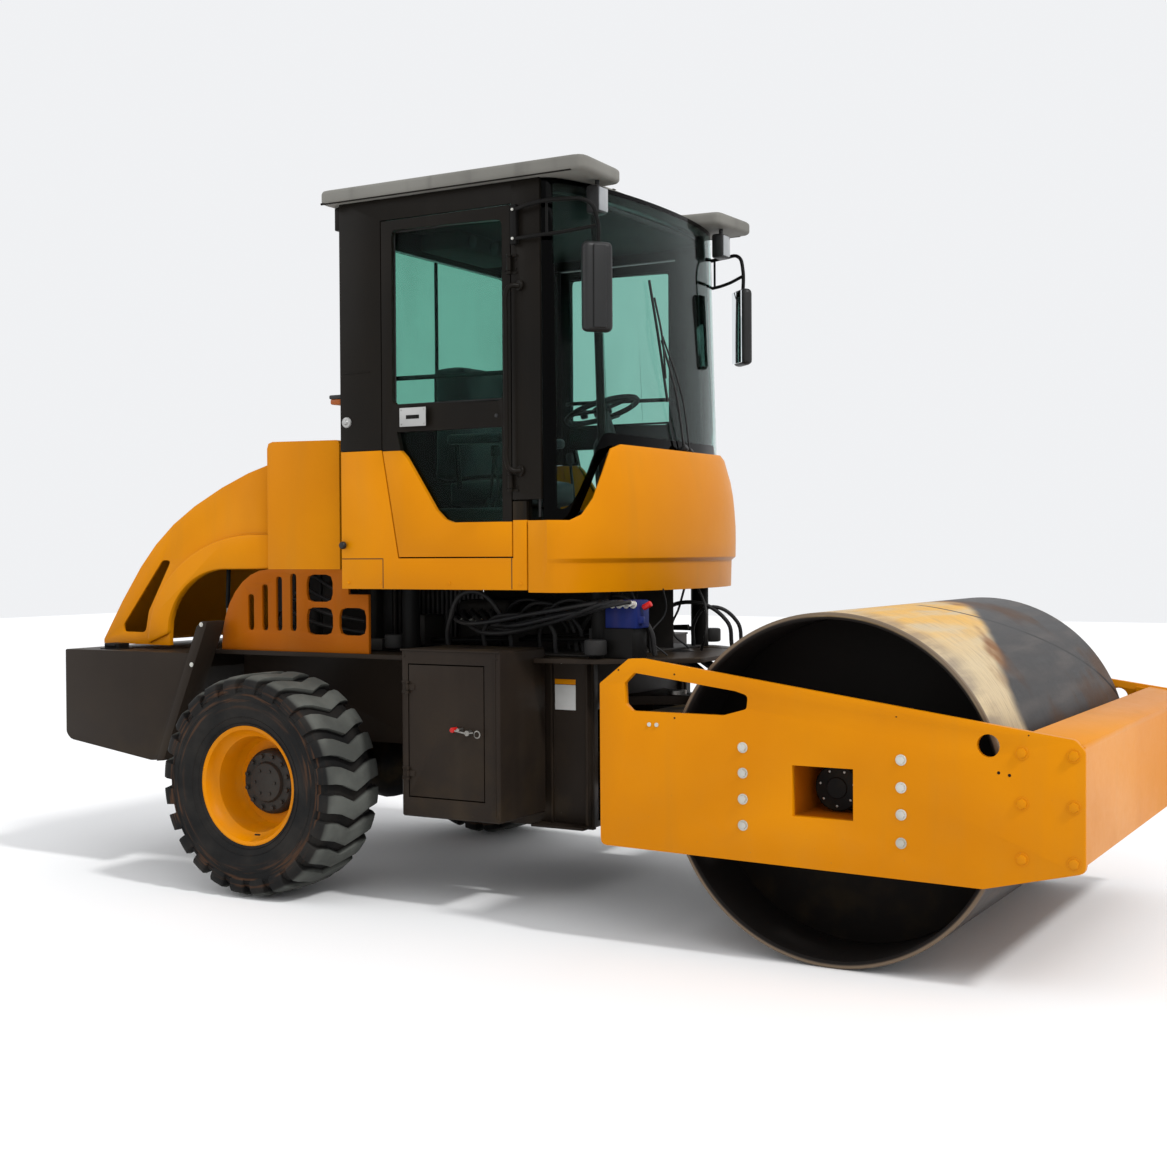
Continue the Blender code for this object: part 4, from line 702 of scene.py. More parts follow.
plainLooks = {
    "plastic": {"colour": (0.012, 0.012, 0.012), "shade": (0.018, 0.018, 0.018), "roughness": 0.38},
    "grip": {"colour": (0.01, 0.01, 0.01), "shade": (0.016, 0.015, 0.014), "roughness": 0.62,
             "relief": 0.4},
    "hose": {"colour": (0.011, 0.011, 0.012), "shade": (0.024, 0.022, 0.02), "roughness": 0.5,
             "scale": 260},
    "seal": {"colour": (0.008, 0.008, 0.008), "shade": (0.014, 0.013, 0.012), "roughness": 0.6},
    "zinc": {
        "colour": (0.6, 0.6, 0.56), "shade": (0.44, 0.43, 0.38), "roughness": 0.32, "metallic": 0.45,
        "scale": 60,
    },
    "steel": {"colour": (0.34, 0.33, 0.31), "shade": (0.22, 0.21, 0.19), "roughness": 0.3, "metallic": 0.9},
    "chrome": {"colour": (0.72, 0.72, 0.72), "shade": (0.62, 0.62, 0.6), "roughness": 0.1, "metallic": 1.0,
               "spread": 0.06, "relief": 0.03},
    "iron": {"colour": (0.02, 0.018, 0.016), "shade": (0.034, 0.03, 0.025), "roughness": 0.55,
             "metallic": 0.2, "scale": 50, "relief": 0.5},
    "mirror": {"colour": (0.8, 0.84, 0.86), "shade": (0.76, 0.8, 0.82), "roughness": 0.03, "metallic": 1.0,
               "spread": 0.02, "relief": 0.0},
    "lens": {"colour": (0.3, 0.31, 0.32), "shade": (0.2, 0.21, 0.22), "roughness": 0.12, "scale": 90,
             "relief": 0.6, "coat": 0.8},
    "red": {"colour": (0.55, 0.012, 0.01), "shade": (0.42, 0.01, 0.008), "roughness": 0.28},
    "amber": {"colour": (0.4, 0.1, 0.008), "shade": (0.3, 0.07, 0.008), "roughness": 0.22},
    "label": {"colour": (0.62, 0.62, 0.6), "shade": (0.52, 0.52, 0.49), "roughness": 0.45, "relief": 0.02},
    "lock": {"colour": (0.42, 0.42, 0.41), "shade": (0.33, 0.33, 0.32), "roughness": 0.35, "metallic": 0.5},
    "lining": {"colour": (0.02, 0.02, 0.021), "shade": (0.032, 0.031, 0.03), "roughness": 0.8,
               "scale": 420, "relief": 0.5},
    "dash": {"colour": (0.03, 0.031, 0.032), "shade": (0.045, 0.045, 0.044), "roughness": 0.5, "scale": 500,
             "relief": 0.4},
}


def seatCloth():
    shop = Shop("seat cloth")
    x, y, z = shop.split()
    weaveA = shop.maths("SINE", (x + z) * 900) * shop.maths("SINE", y * 900)
    worn = shop.noise(6, 4).rise(0.4, 0.72)
    colour = shop.mix(worn, (0.022, 0.023, 0.026), (0.04, 0.041, 0.045))
    normal = shop.bump(weaveA * 0.5 + shop.noise(70, 3) * 0.5, 0.3, 0.001)
    return shop.finish(colour=colour, roughness=0.78 - worn * 0.12, normal=normal, sheen=0.25)


def cabGlass(name, tint, band=None):
    # tinted glass; the band is the dark print along the edges of the front panes
    shop = Shop(name)
    x, y, z = shop.split()
    smear = shop.noise(5, 5, shop.stretched((1, 1, 0.4))).rise(0.45, 0.75)
    colour = shop.mix(smear, tint, tuple(part * 0.93 for part in tint))
    if band:
        share = shop.maths("ABSOLUTE", y) / band["half"]
        foot = band["top"] - (band["top"] - band["side"]) * share.rise(0.66,
                                                                       0.95) - 0.02 * (1 - share * share)
        dark = 1 - (z - foot).rise(band["width"] - 0.004, band["width"])
        dark = shop.maths("MAXIMUM", dark, share.rise(0.966, 0.97))
        dark = shop.maths("MAXIMUM", dark, z.rise(3.292, 3.296))
        colour = shop.mix(dark, colour, (0.002, 0.002, 0.002))
    return shop.finish(colour=colour, roughness=0.0, transmission=1.0, ior=1.14)


for look in ("hoodYellow", "panelYellow"):
    paintLooks[look] = {**paintLooks["yellow"], **paintLooks[look]}
finishes = {name: [paint(name + " paint", {**basePaint, **look})] for name, look in paintLooks.items()}
finishes.update({name: [plain(name, look)] for name, look in plainLooks.items()})
finishes["drum"] = [drumSteel()]
finishes["tyre"] = [tyreRubber()]
finishes["cloth"] = [seatCloth()]
frontBand = {"half": 0.838, "top": 2.145, "side": 1.785, "width": 0.055}
finishes["sideGlass"] = [cabGlass("side glass", (0.37, 0.63, 0.55))]
finishes["frontGlass"] = [cabGlass("front glass", (0.6, 0.79, 0.75), frontBand)]
recordSlots = {
    "yellow": "yellow_paint", "orange": "orange_paint", "rim": "rim_paint", "brown": "brown_paint",
    "cab": "cab_paint", "black": "black_paint", "roof": "roof_paint", "drum": "drum_steel",
    "tyre": "tyre_rubber", "cloth": "seat_cover", "sideGlass": "glass", "frontGlass": "glass",
    "iron": "engine_iron", "hoodYellow": "yellow_paint", "panelYellow": "yellow_paint",
    "inside": "black_paint", "chrome": "rod_chrome",
}
for name, entry in finishes.items():
    entry.append(recordSlots.get(name, "black_plastic"))
print("finishes mixed:", len(finishes))


# ---- CAD pieces as they are shown: finish, edge, smoothing angle
shown = {
    "rear_frame": ("brown", 0.004), "rear_tank": ("brown", 0.008), "engine": ("iron", 0.012),
    "hood_cowl": ("yellow", 0.012), "engine_hood": ("hoodYellow", 0.01), "cab_floor": ("black", 0.004),
    "cab_frame": ("cab", 0.003), "cab_roof": ("roof", 0.01), "nose_panel": ("yellow", 0.002),
    "windshield": ("frontGlass", 0), "rear_glass": ("sideGlass", 0), "seat_base": ("black", 0.006),
    "steering_console": ("dash", 0.008), "steering_wheel": ("grip", 0), "front_beam": ("yellow", 0.006),
    "rear_beam": ("black", 0.004), "hitch_pin": ("steel", 0.003), "rear_axle": ("black", 0.006),
}
pairs = {
    # the orange look is painted shade on the hub supports and partly painted shade on the grille
    "grille": ("orange", 0.002), "toolbox": ("brown", 0.004), "toolbox_door": ("brown", 0.003),
    "quarter_glass": ("frontGlass", 0), "side_panel": ("panelYellow", 0.003), "door_frame": ("cab", 0.003),
    "door_panel": ("yellow", 0.003), "door_glass": ("sideGlass", 0), "hub_support": ("orange", 0.004),
    "drum_head": ("inside", 0.004), "side_plate": ("yellow", 0.0035), "cylinder": ("black", 0.002),
    "cylinder_rod": ("chrome", 0.001),
}
for node, (finish, edge) in pairs.items():
    for side, hand in sides:
        shown[hand + "_" + node] = (finish, edge)
pieces = {}
for node, (finish, edge) in shown.items():
    pieces[node] = refined(node, finish, edge)
print("CAD pieces refined:", len(pieces))


# ---- drum
drum = {"radius": 0.7, "wall": 0.028, "half": 1.065, "z": 0.7, "steps": 160, "ease": 0.004}
r, w, e = drum["radius"], drum["half"], drum["ease"]
inner = r - drum["wall"]
ring = [
    (inner, w - 0.006), (inner + 0.006, w), (r - e, w), (r, w - e), (r, w / 3), (r, -w / 3), (r, -w + e),
    (r - e, -w), (inner + 0.006, -w), (inner, -w + 0.006), (inner, -w / 3), (inner, w / 3),
    (inner, w - 0.006),
]
skin = turned("drum skin", ring, (0, 0, drum["z"]), drum["steps"])
fit(skin, "drum", "drum")
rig.replaces(skin, "drum_shell")
print("drum skin turned")


# ---- tyres and rims
wheel = {"x": -2.91, "y": 1.0, "z": 0.535, "lugs": 24, "top": 0.531, "lugWidth": 0.084,
         "lugDepth": 0.042, "taper": 0.9}
carcass = [  # (radius, distance out from the tyre's middle)
    (0.278, -0.15), (0.29, -0.168), (0.33, -0.186), (0.38, -0.198), (0.43, -0.198), (0.47, -0.184),
    (0.492, -0.16), (0.5, -0.11), (0.503, -0.04), (0.503, 0.04), (0.5, 0.11), (0.492, 0.16),
    (0.47, 0.184), (0.43, 0.198), (0.38, 0.198), (0.33, 0.186), (0.29, 0.168), (0.278, 0.15),
    (0.278, 0.06), (0.278, -0.06), (0.278, -0.15),
]
rimProfile = [  # outer lip, well and dish, then back along the inside
    (0.278, 0.15), (0.286, 0.158), (0.287, 0.166), (0.281, 0.167), (0.268, 0.16), (0.262, 0.14),
    (0.25, 0.118), (0.232, 0.104), (0.226, 0.08), (0.222, 0.01), (0.214, -0.02), (0.205, -0.03),
    (0.12, -0.032), (0.11, -0.036), (0.11, -0.048), (0.21, -0.048), (0.236, -0.04), (0.244, 0.06),
    (0.25, 0.09), (0.262, 0.108), (0.272, 0.14), (0.278, 0.15),
]
innerRim = [
    (0.278, -0.15), (0.286, -0.158), (0.287, -0.166), (0.27, -0.16), (0.252, -0.14), (0.246, -0.06),
    (0.24, -0.04), (0.262, -0.02), (0.278, -0.03), (0.278, -0.15),
]


def treadLug(name):
    # one bar of the tread: bent forward at the middle, turned down over both shoulders
    half = wheel["lugWidth"] / 2 / wheel["top"]
    line = (  # across the tyre, lead round it in radians, drop of the top
        (0.0, 0.1, 0.0), (0.04, 0.07, 0.0), (0.1, 0.024, -0.001), (0.15, 0.005, -0.005),
        (0.186, 0.0, -0.016), (0.201, -0.004, -0.04), (0.203, -0.006, -0.072),
    )
    row = [(-across, lead, drop) for across, lead, drop in line[:0:-1]] + list(line)
    points = []
    for across, lead, drop in row:
        reach = wheel["top"] + drop
        points.append(Vector((math.sin(lead - half) * reach, across, math.cos(lead - half) * reach)))
    chain(points)
    bpy.ops.mesh.spin(steps=3, angle=2 * half, center=(0, 0, 0), axis=(0, 1, 0))
    bpy.ops.mesh.select_all(action="SELECT")
    bpy.ops.mesh.extrude_region_move(TRANSFORM_OT_translate={"value": (0, 0, -wheel["lugDepth"])})
    bpy.ops.transform.resize(value=(1, wheel["taper"], 1), center_override=(0, 0, 0))
    bpy.ops.mesh.select_all(action="SELECT")
    bpy.ops.mesh.normals_make_consistent(inside=False)
    bpy.ops.object.mode_set(mode="OBJECT")
    return softEdges(settle(name), 0.0035, 2)


for side, hand in sides:
    centre = (wheel["x"], side * wheel["y"], wheel["z"])
    axle = Matrix.Translation(world(centre))
    tyre = turned(hand + " tyre carcass", carcass, centre, 96, side)
    fit(tyre, "tyre", hand + "_wheel")
    step = math.tau / wheel["lugs"]
    turns = [axle @ Matrix.Rotation(k * step, 4, "Y") for k in range(wheel["lugs"])]
    tread = spread(hand + " tread", treadLug("lug"), turns)
    fit(tread, "tyre", hand + "_wheel")
    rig.replaces(tyre, hand + "_tyre")
    rim = turned(hand + " rim dish", rimProfile, centre, 72, side)
    back = turned("back flange", innerRim, centre, 72, side)
    rim = gather(hand + " wheel rim", [rim, back])
    fit(rim, "rim", hand + "_wheel")
    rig.replaces(rim, hand + "_rim")
    disc = [(0.0001, 0.04), (0.08, 0.04), (0.092, 0.036), (0.1, 0.02), (0.14, 0.018), (0.15, 0.01),
            (0.158, -0.005), (0.16, -0.031), (0.0001, -0.031)]
    plateHub = turned(hand + " wheel hub", disc, centre, 48, side)
    fit(plateHub, "iron", hand + "_wheel")
print("wheels built")


# ---- fixings shared by the whole machine
def boltModel(name, radius, height, washer=0.0):
    # a hexagon head with its washer, standing on z = 0 at the origin
    parts = []
    if washer:
        bpy.ops.mesh.primitive_cylinder_add(vertices=24, radius=washer, depth=0.003,
                                            location=(0, 0, 0.0012))
        parts.append(softEdges(settle("washer"), 0.0006, 1))
    bpy.ops.mesh.primitive_cylinder_add(vertices=6, radius=radius, depth=height,
                                        location=(0, 0, height / 2))
    parts.append(softEdges(settle("head"), radius * 0.12, 2))
    return gather(name, parts)


def bolts(name, spots, direction, radius, height, finish, body, washer=0.0):
    model = boltModel(name, radius, height, washer)
    places = [standing(spot, direction) @ Matrix.Rotation(dice.uniform(0, 1.05), 4, "Z") for spot in spots]
    return fit(spread(name, model, places), finish, body)


def ringOf(name, centre, radius, along, count, direction, size, height, finish, body, washer=0.0):
    spots = []
    for k in range(count):
        turn = math.tau * (k + 0.5) / count
        spots.append((centre[0] + radius * math.sin(turn), along, centre[2] + radius * math.cos(turn)))
    return bolts(name, spots, direction, size, height, finish, body, washer)


# ---- drum frame
plateY = 1.14
hub = {"x": 0.004, "z": drum["z"], "cap": 0.997, "boltRing": 0.072, "boltFace": 0.989, "bolts": 7}
hubBolts = [(-0.337, z) for z in (0.547, 0.652, 0.756, 0.858)] + [(0.318, z) for z in (0.531, 0.639, 0.742,
                                                                                       0.847)]
beamBolts = [(x, z) for x in (0.775, 0.962) for z in (0.9, 0.714, 0.51)]
capProfile = [
    (0.0001, 0.0), (0.04, 0.0), (0.044, -0.004), (0.058, -0.006), (0.088, -0.008), (0.094, -0.014),
    (0.095, -0.2), (0.0001, -0.2),
]
for side, hand in sides:
    out = (0, side, 0)
    face = side * plateY
    bolts(hand + " hub bolts", [(x, face, z) for x, z in hubBolts], out, 0.0165, 0.011, "zinc",
          "drum_frame", 0.0215)
    bolts(hand + " beam bolts", [(x, face, z) for x, z in beamBolts], out, 0.02, 0.009, "yellow",
          "drum_frame", 0.026)
    bolts(hand + " lug screws", [(x, face, 0.93) for x in (-0.757, -0.723)], out, 0.006, 0.004, "zinc",
          "drum_frame", 0.009)
    # black discs stand for small holes in the plate: their black is painted shade inside the holes
    holes = [(0.69, 0.822, 0.006), (0.73, 0.815, 0.006), (-0.9, 1.15, 0.004), (-0.64, 1.14, 0.004),
             (-0.64, 0.962, 0.004), (0.3, 1.01, 0.003), (0.8, 0.965, 0.003)]
    rings = [bar("hole", (x, face - side * 0.002, z), (x, face + side * 0.0006, z), radius, 16, 0.0002)
             for x, z, radius in holes]
    group(hand + " drill holes", rings, "black", "drum_frame")
    cap = turned(hand + " hub cap", capProfile, (hub["x"], side * hub["cap"], hub["z"]), 48, side)
    fit(cap, "black", "drum_frame")
    ringOf(hand + " hub cap bolts", (hub["x"], 0, hub["z"]), hub["boltRing"], side * hub["boltFace"],
           hub["bolts"],
           out, 0.0055, 0.005, "steel", "drum_frame")
    weld = [bar("bead", (x, side * 1.108, low), (x, side * 1.108, high), 0.006, 10)
            for x, low, high in ((0.745, 0.475, 0.968), (0.99, 0.52, 0.93))]
    group(hand + " beam welds", weld, "yellow", "drum_frame")
    # rubber buffers between hub and plate show through the frame from below
    pads = [bar("pad", (x, side * 1.05, z), (x, side * 1.108, z), 0.036, 24, 0.004)
            for x in (-0.25, 0.25) for z in (0.56, 0.84)]
    group(hand + " rubber buffers", pads, "grip", "drum_frame")
    ringOf(hand + " drum head bolts", (0, 0, drum["z"]), 0.11, side * 0.826, 10, out, 0.011, 0.008, "zinc",
           "drum")

# scraper blades before and behind the drum
scraper = []
for x, lean in ((0.716, 1), (-0.716, -1)):
    outline = [(x, 0.64), (x + 0.006 * lean, 0.64), (x + 0.03 * lean, 0.56), (x + 0.022 * lean, 0.56)]
    scraper.append(plate("scraper", outline, -1.0, 1.0, "y", 0.001, 1))
group("scraper blades", scraper, "black", "drum_frame")
bolts("scraper bolts", [(0.738, y, 0.6) for y in (-0.8, -0.4, 0.0, 0.4, 0.8)], (-1, 0, 0), 0.009, 0.006,
      "zinc",
      "drum_frame")
print("drum frame dressed")


# ---- wheels' small parts
for side, hand in sides:
    out = (0, side, 0)
    centre = (wheel["x"], 0, wheel["z"])
    body = hand + "_wheel"
    ringOf(hand + " wheel nuts", centre, 0.127, side * (wheel["y"] + 0.018), 12, out, 0.0115, 0.014,
           "iron", body, 0.016)
    ringOf(hand + " hub screws", centre, 0.062, side * (wheel["y"] + 0.04), 6, out, 0.008, 0.006, "iron",
           body)
    stem = (wheel["x"] + 0.045, side * (wheel["y"] + 0.13), wheel["z"] - 0.236)
    valve = bar("valve", stem, (stem[0], stem[1] + side * 0.034, stem[2] + 0.006), 0.004, 12, 0.001)
    group(hand + " valve", [valve], "grip", body)
    beads = []
    for radius, along in ((0.455, 0.1915), (0.415, 0.1975), (0.33, 0.186), (0.3, 0.173)):
        line = [(radius - 0.004, along - 0.003), (radius, along + 0.0022), (radius + 0.004, along - 0.004)]
        beads.append(turned("rib", line + line[:1], (wheel["x"], side * wheel["y"], wheel["z"]), 96, side))
    group(hand + " tyre ribs", beads, "tyre", body)

# ---- toolboxes, chassis plates and tank
for side, hand in sides:
    out = (0, side, 0)
    doorBody = hand + "_box_door"
    y = side * 0.95
    # latch with its bow, key ring and red plug
    latch = [
        bar("barrel", (-1.77, y, 0.825), (-1.77, side * 0.984, 0.825), 0.013, 24, 0.002),
        bar("bow", (-1.77, side * 0.981, 0.825), (-1.735, side * 0.981, 0.829), 0.0035, 12),
        bar("bow", (-1.84, side * 0.981, 0.834), (-1.775, side * 0.981, 0.824), 0.0045, 12),
        bar("pin", (-1.815, y, 0.838), (-1.815, side * 0.99, 0.838), 0.008, 16, 0.001),
    ]
    link = turned("ring", [(0.013, -0.002), (0.018, 0.0), (0.013, 0.002), (0.013, -0.002)],
                  (-1.715, side * 0.981, 0.822), 24, side)
    group(hand + " box latch", latch + [link], "steel", doorBody)
    plug = bar(hand + " box lock plug", (-1.848, y, 0.836), (-1.848, side * 0.989, 0.836), 0.012, 20, 0.003)
    fit(plug, "red", doorBody)
    seams = [sidePlate("seam", rect(low, high), 0.945, 0.953, side, 0.001)
             for low, high in (((-2.16, 1.188), (-1.612, 1.1965)), ((-1.64, 0.44), (-1.634, 1.188)))]
    group(hand + " toolbox edges", seams, "brown")
    corner = [(x, side * 0.95, z) for x in (-2.138, -1.628) for z in (0.445, 1.165)]
    bolts(hand + " toolbox rivets", corner, out, 0.006, 0.003, "brown", "rear_frame")
    # label without print, on the chassis plate ahead of the toolbox
    for name, low, high, finish in ((" label", 0.9, 1.018, "label"), (" label head", 1.02, 1.044,
                                                                      "yellow")):
        sticker = sidePlate(hand + name, rect((-1.592, low), (-1.48, high)), 0.5, 0.502, side, 0.0003)
        fit(sticker, finish)
    foot = rect((-1.68, 0.352), (-1.395, 0.366))
    rib = rect((-1.612, 0.366), (-1.6, 1.12))
    front = rect((-1.408, 0.366), (-1.395, 1.12))
    frameBits = [sidePlate("foot", foot, 0.44, 0.585, side, 0.003), sidePlate("rib", rib, 0.498, 0.516,
                                                                              side, 0.002),
                 sidePlate("rib", front, 0.44, 0.54, side, 0.002)]
    group(hand + " frame ribs", frameBits, "brown")
    rail = rect((-3.3, 1.118), (-1.4, 1.142))
    fit(sidePlate(hand + " deck rail", rail, 0.5, 0.512, side, 0.002), "black")
    spots = [(x, side * 0.512, 1.13) for x in (-3.2, -2.9, -2.6, -2.3, -1.55)]
    bolts(hand + " deck bolts", spots, out, 0.009, 0.007, "zinc", "rear_frame", 0.013)
    # bolts of the mudguard bracket between tank and wheel
    guardBolts = [(-3.432, side * 0.912, 1.285), (-3.5, side * 0.912, 1.08)]
    bolts(hand + " bracket bolts", guardBolts, out, 0.008, 0.006, "zinc", "rear_frame", 0.012)
    # gas strut under the hood, with its bright foot
    strut = [bar("tube", (-3.49, side * 0.64, 1.64), (-3.502, side * 0.64, 1.36), 0.011, 20, 0.002)]
    group(hand + " strut tube", strut, "black")
    footEnd = [bar("rod", (-3.502, side * 0.64, 1.365), (-3.51, side * 0.64, 1.2), 0.006, 16),
               bar("eye", (-3.51, side * 0.628, 1.195), (-3.51, side * 0.652, 1.195), 0.013, 20, 0.002),
               bar("stud", (-3.51, side * 0.64, 1.195), (-3.51, side * 0.64, 1.15), 0.008, 16)]
    group(hand + " strut rod", footEnd, "steel")

latchBlock = [block("latch", (-4.225, -0.81, 1.138), (-4.12, -0.73, 1.168), 0.004),
              block("pad", (-4.24, -0.825, 1.137), (-4.1, -0.72, 1.142), 0.002),
              bar("pin", (-4.205, -0.812, 1.156), (-4.14, -0.812, 1.156), 0.006, 12)]
group("hood catch", latchBlock, "black")
filler = [(0.0001, 0.05), (0.03, 0.05), (0.04, 0.046), (0.044, 0.03), (0.05, 0.026), (0.05, 0.0),
          (0.0001, 0.0)]
capTank = turned("filler cap", filler, (0, 0, 0), 32)
fit(moved(capTank, upright((-3.9, 0.8, 1.137))), "black")
# lamps and number plate sit in pockets of the tank's back
tail, lampY = -4.42, 0.76
pockets = [wideBlock("pocket", (tail - 0.1, tail + 0.016), side * lampY, 0.092, (0.978, 1.052)) for side,
           hand in sides]
pockets.append(wideBlock("pocket", (tail - 0.1, tail + 0.008), 0, 0.245, (0.845, 0.99)))
pocket = gather("pocket", pockets)
applied(pieces["rear_tank"], "BOOLEAN", operation="DIFFERENCE", object=pocket, solver="EXACT")
bpy.data.objects.remove(pocket)
smooth(pieces["rear_tank"])
for side, hand in sides:
    back = wideBlock(hand + " rear lamp", (tail + 0.006, tail + 0.015), side * lampY, 0.088,
                     (0.982, 1.048), 0.003)
    fit(back, "black")
    for tint, inner, outer in (("red", 0.752, 0.842), ("amber", 0.678, 0.748)):
        low, high = sorted((side * inner, side * outer))
        lens = block(hand + " rear lamp " + tint, (tail + 0.001, low, 0.988), (tail + 0.008, high, 1.042),
                     0.003)
        fit(lens, tint)
fit(block("rear plate", (tail + 0.003, -0.236, 0.854), (tail + 0.0075, 0.236, 0.981), 0.002), "label")
bolts("rear plate screws", [(tail + 0.003, y, 0.966) for y in (-0.2, 0.2)], (-1, 0, 0), 0.006, 0.0025,
      "zinc",
      "rear_frame")


def quarter(centre, reach, start, sweep, steps):
    # points along a quarter of an ellipse, angles in degrees from the front
    turns = [math.radians(start + sweep * k / steps) for k in range(steps + 1)]
    return [(centre[0] + reach[0] * math.cos(turn),
             centre[1] + reach[1] * math.sin(turn)) for turn in turns]


# raised lip round the hood's wheel arch, its handle and hinge screws
for side, hand in sides:
    lip = [(-3.136, 1.742)]
    lip += quarter((-3.25, 1.165), (0.738, 0.577), 90, 90, 24)
    lip += quarter((-3.44, 1.22), (0.398, 0.342), 180, -90, 20)
    lip.append((-3.136, 1.562))
    fit(sidePlate(hand + " arch lip", lip, 0.694, 0.735, side, 0.016), "yellow", "hood")
    spots = [(-3.15, side * (0.5 + shift), 2.094) for shift in (-0.014, 0.014)]
    bolts(hand + " hood hinge screws", spots, (1, 0, 0), 0.005, 0.004, "zinc", "hood")
handle = tube("hood handle", [(-4.322, -0.11, 1.25), (-4.362, -0.1, 1.252), (-4.368, 0.0, 1.252),
                              (-4.362, 0.1, 1.252), (-4.322, 0.11, 1.25)], 0.009)
fit(handle, "black", "hood")
print("rear dressed")


# ---- outside of the cab
for side, hand in sides:
    out = (0, side, 0)
    doorBody = hand + "_door"
    # lock plate with its slot, and the knob ahead of it
    face = sidePlate(hand + " lock plate", rect((-2.208, 2.233), (-2.058, 2.321)), 0.875, 0.879, side,
                     0.0015)
    fit(face, "lock", doorBody)
    pull = sidePlate(hand + " lock slot", rect((-2.17, 2.268), (-2.095, 2.286)), 0.878, 0.8805, side, 0.001)
    fit(pull, "black", doorBody)
    spots = [(x, side * 0.879, z) for x in (-2.198, -2.068) for z in (2.243, 2.311)]
    bolts(hand + " lock rivets", spots, out, 0.0035, 0.002, "steel", doorBody)
    fit(bar(hand + " belt knob", (-1.668, side * 0.872, 2.262), (-1.668, side * 0.879, 2.262), 0.009, 20,
            0.002),
        "plastic", doorBody)
    # grab tube beside the door pillar
    grab = tube(hand + " grab tube", [
        (-1.555, side * 0.856, 2.84), (-1.585, side * 0.888, 2.836), (-1.6, side * 0.896, 2.805),
        (-1.602, side * 0.897, 2.7), (-1.602, side * 0.897, 2.4), (-1.602, side * 0.897, 2.15),
        (-1.6, side * 0.896, 2.05), (-1.585, side * 0.888, 2.014), (-1.55, side * 0.856, 2.008)], 0.012)
    fit(grab, "cab")
    feet = [bar("foot", (-1.552, side * 0.852, z), (-1.556, side * 0.862, z), 0.024, 24,
                0.002) for z in (2.842, 2.008)]
    group(hand + " grab feet", feet, "cab")
    # seals: round the door's glass and down the pillar
    seal = tube(hand + " pillar seal", [(-1.462, side * 0.838, 1.8), (-1.462, side * 0.84, 2.4),
                                        (-1.462, side * 0.838, 3.28)], 0.006)
    fit(seal, "seal")
    # door glass rubber in four runs
    loop = [(-2.272, 3.16), (-1.65, 3.16), (-1.65, 2.34), (-2.272, 2.34), (-2.272, 3.16)]
    runs = [bar("run", (a[0], side * 0.8225, a[1]), (b[0], side * 0.8225, b[1]), 0.006, 10) for a,
            b in zip(loop, loop[1:])]
    group(hand + " glass seal", runs, "seal", doorBody)
    seam = sidePlate(hand + " rear post seam", rect((-2.566, 2.503), (-2.4, 2.507)), 0.849, 0.8535, side,
                     0.001)
    fit(seam, "cab")
    # round lock on the rear post, door stop knob below it
    knobProfile = [(0.0001, 0.02), (0.01, 0.018), (0.014, 0.01), (0.024, 0.008), (0.026, 0.0),
                   (0.0001, 0.0)]
    fit(turned(hand + " post lock", knobProfile, (-2.541, side * 0.85, 2.27), 32, side), "lock")
    stopProfile = [(0.0001, 0.03), (0.014, 0.028), (0.019, 0.02), (0.019, 0.012), (0.01, 0.008),
                   (0.01, 0.0),
                   (0.0001, 0.0)]
    fit(turned(hand + " door stop", stopProfile, (-2.56, side * 0.85, 1.68), 28, side), "plastic")
    # rear lamp on its arm behind the post
    y = side * 0.8
    arm = [wideBlock("arm", (-2.6, -2.56), y, 0.012, (2.376, 2.392), 0.002),
           wideBlock("hood", (-2.655, -2.578), y, 0.045, (2.388, 2.408), 0.006)]
    group(hand + " cab lamp holder", arm, "plastic")
    fit(wideBlock(hand + " cab lamp lens", (-2.652, -2.584), y, 0.04, (2.362, 2.389), 0.008), "amber")
    # bracket under the roof
    brace = wideBlock(hand + " roof brace", (-2.64, -2.578), side * 0.78, 0.03, (3.205, 3.317), 0.006)
    fit(brace, "cab")
    # work lamp under the roof's wing
    x, y = -1.262, side * 0.655
    housing = [wideBlock("case", (x - 0.035, x + 0.03), y, 0.045, (3.165, 3.29), 0.012),
               bar("bolt", (x, y, 3.285), (x, y, 3.318), 0.01, 16, 0.001)]
    group(hand + " work lamp", housing, "plastic")
    fit(wideBlock(hand + " work lamp lens", (x + 0.027, x + 0.036), y, 0.038, (3.175, 3.28)), "lens")
    # screws along the foot of the side panels and in the hinges
    spots = [(x, side * 0.85, 1.5) for x in (-2.54, -2.35, -1.95, -1.56)]
    bolts(hand + " side screws", spots, out, 0.006, 0.0035, "yellow", "rear_frame", 0.009)
    hingeScrews = [(-1.575, side * 0.851, z + shift) for z in (1.96, 2.94) for shift in (-0.022, 0.022)]
    bolts(hand + " hinge screws", hingeScrews, out, 0.006, 0.004, "cab", "rear_frame")

# shut lines of the skirt behind and ahead of the door
for side, hand in sides:
    lines = (((-2.578, 1.6125), (-2.332, 1.6165)), ((-2.334, 1.474), (-2.33, 1.6165)),
             ((-1.609, 1.474), (-1.605, 1.622)))
    cuts = [sidePlate("cut", rect(low, high), 0.8496, 0.8506, side, 0) for low, high in lines]
    group(hand + " shut lines", cuts, "seal")

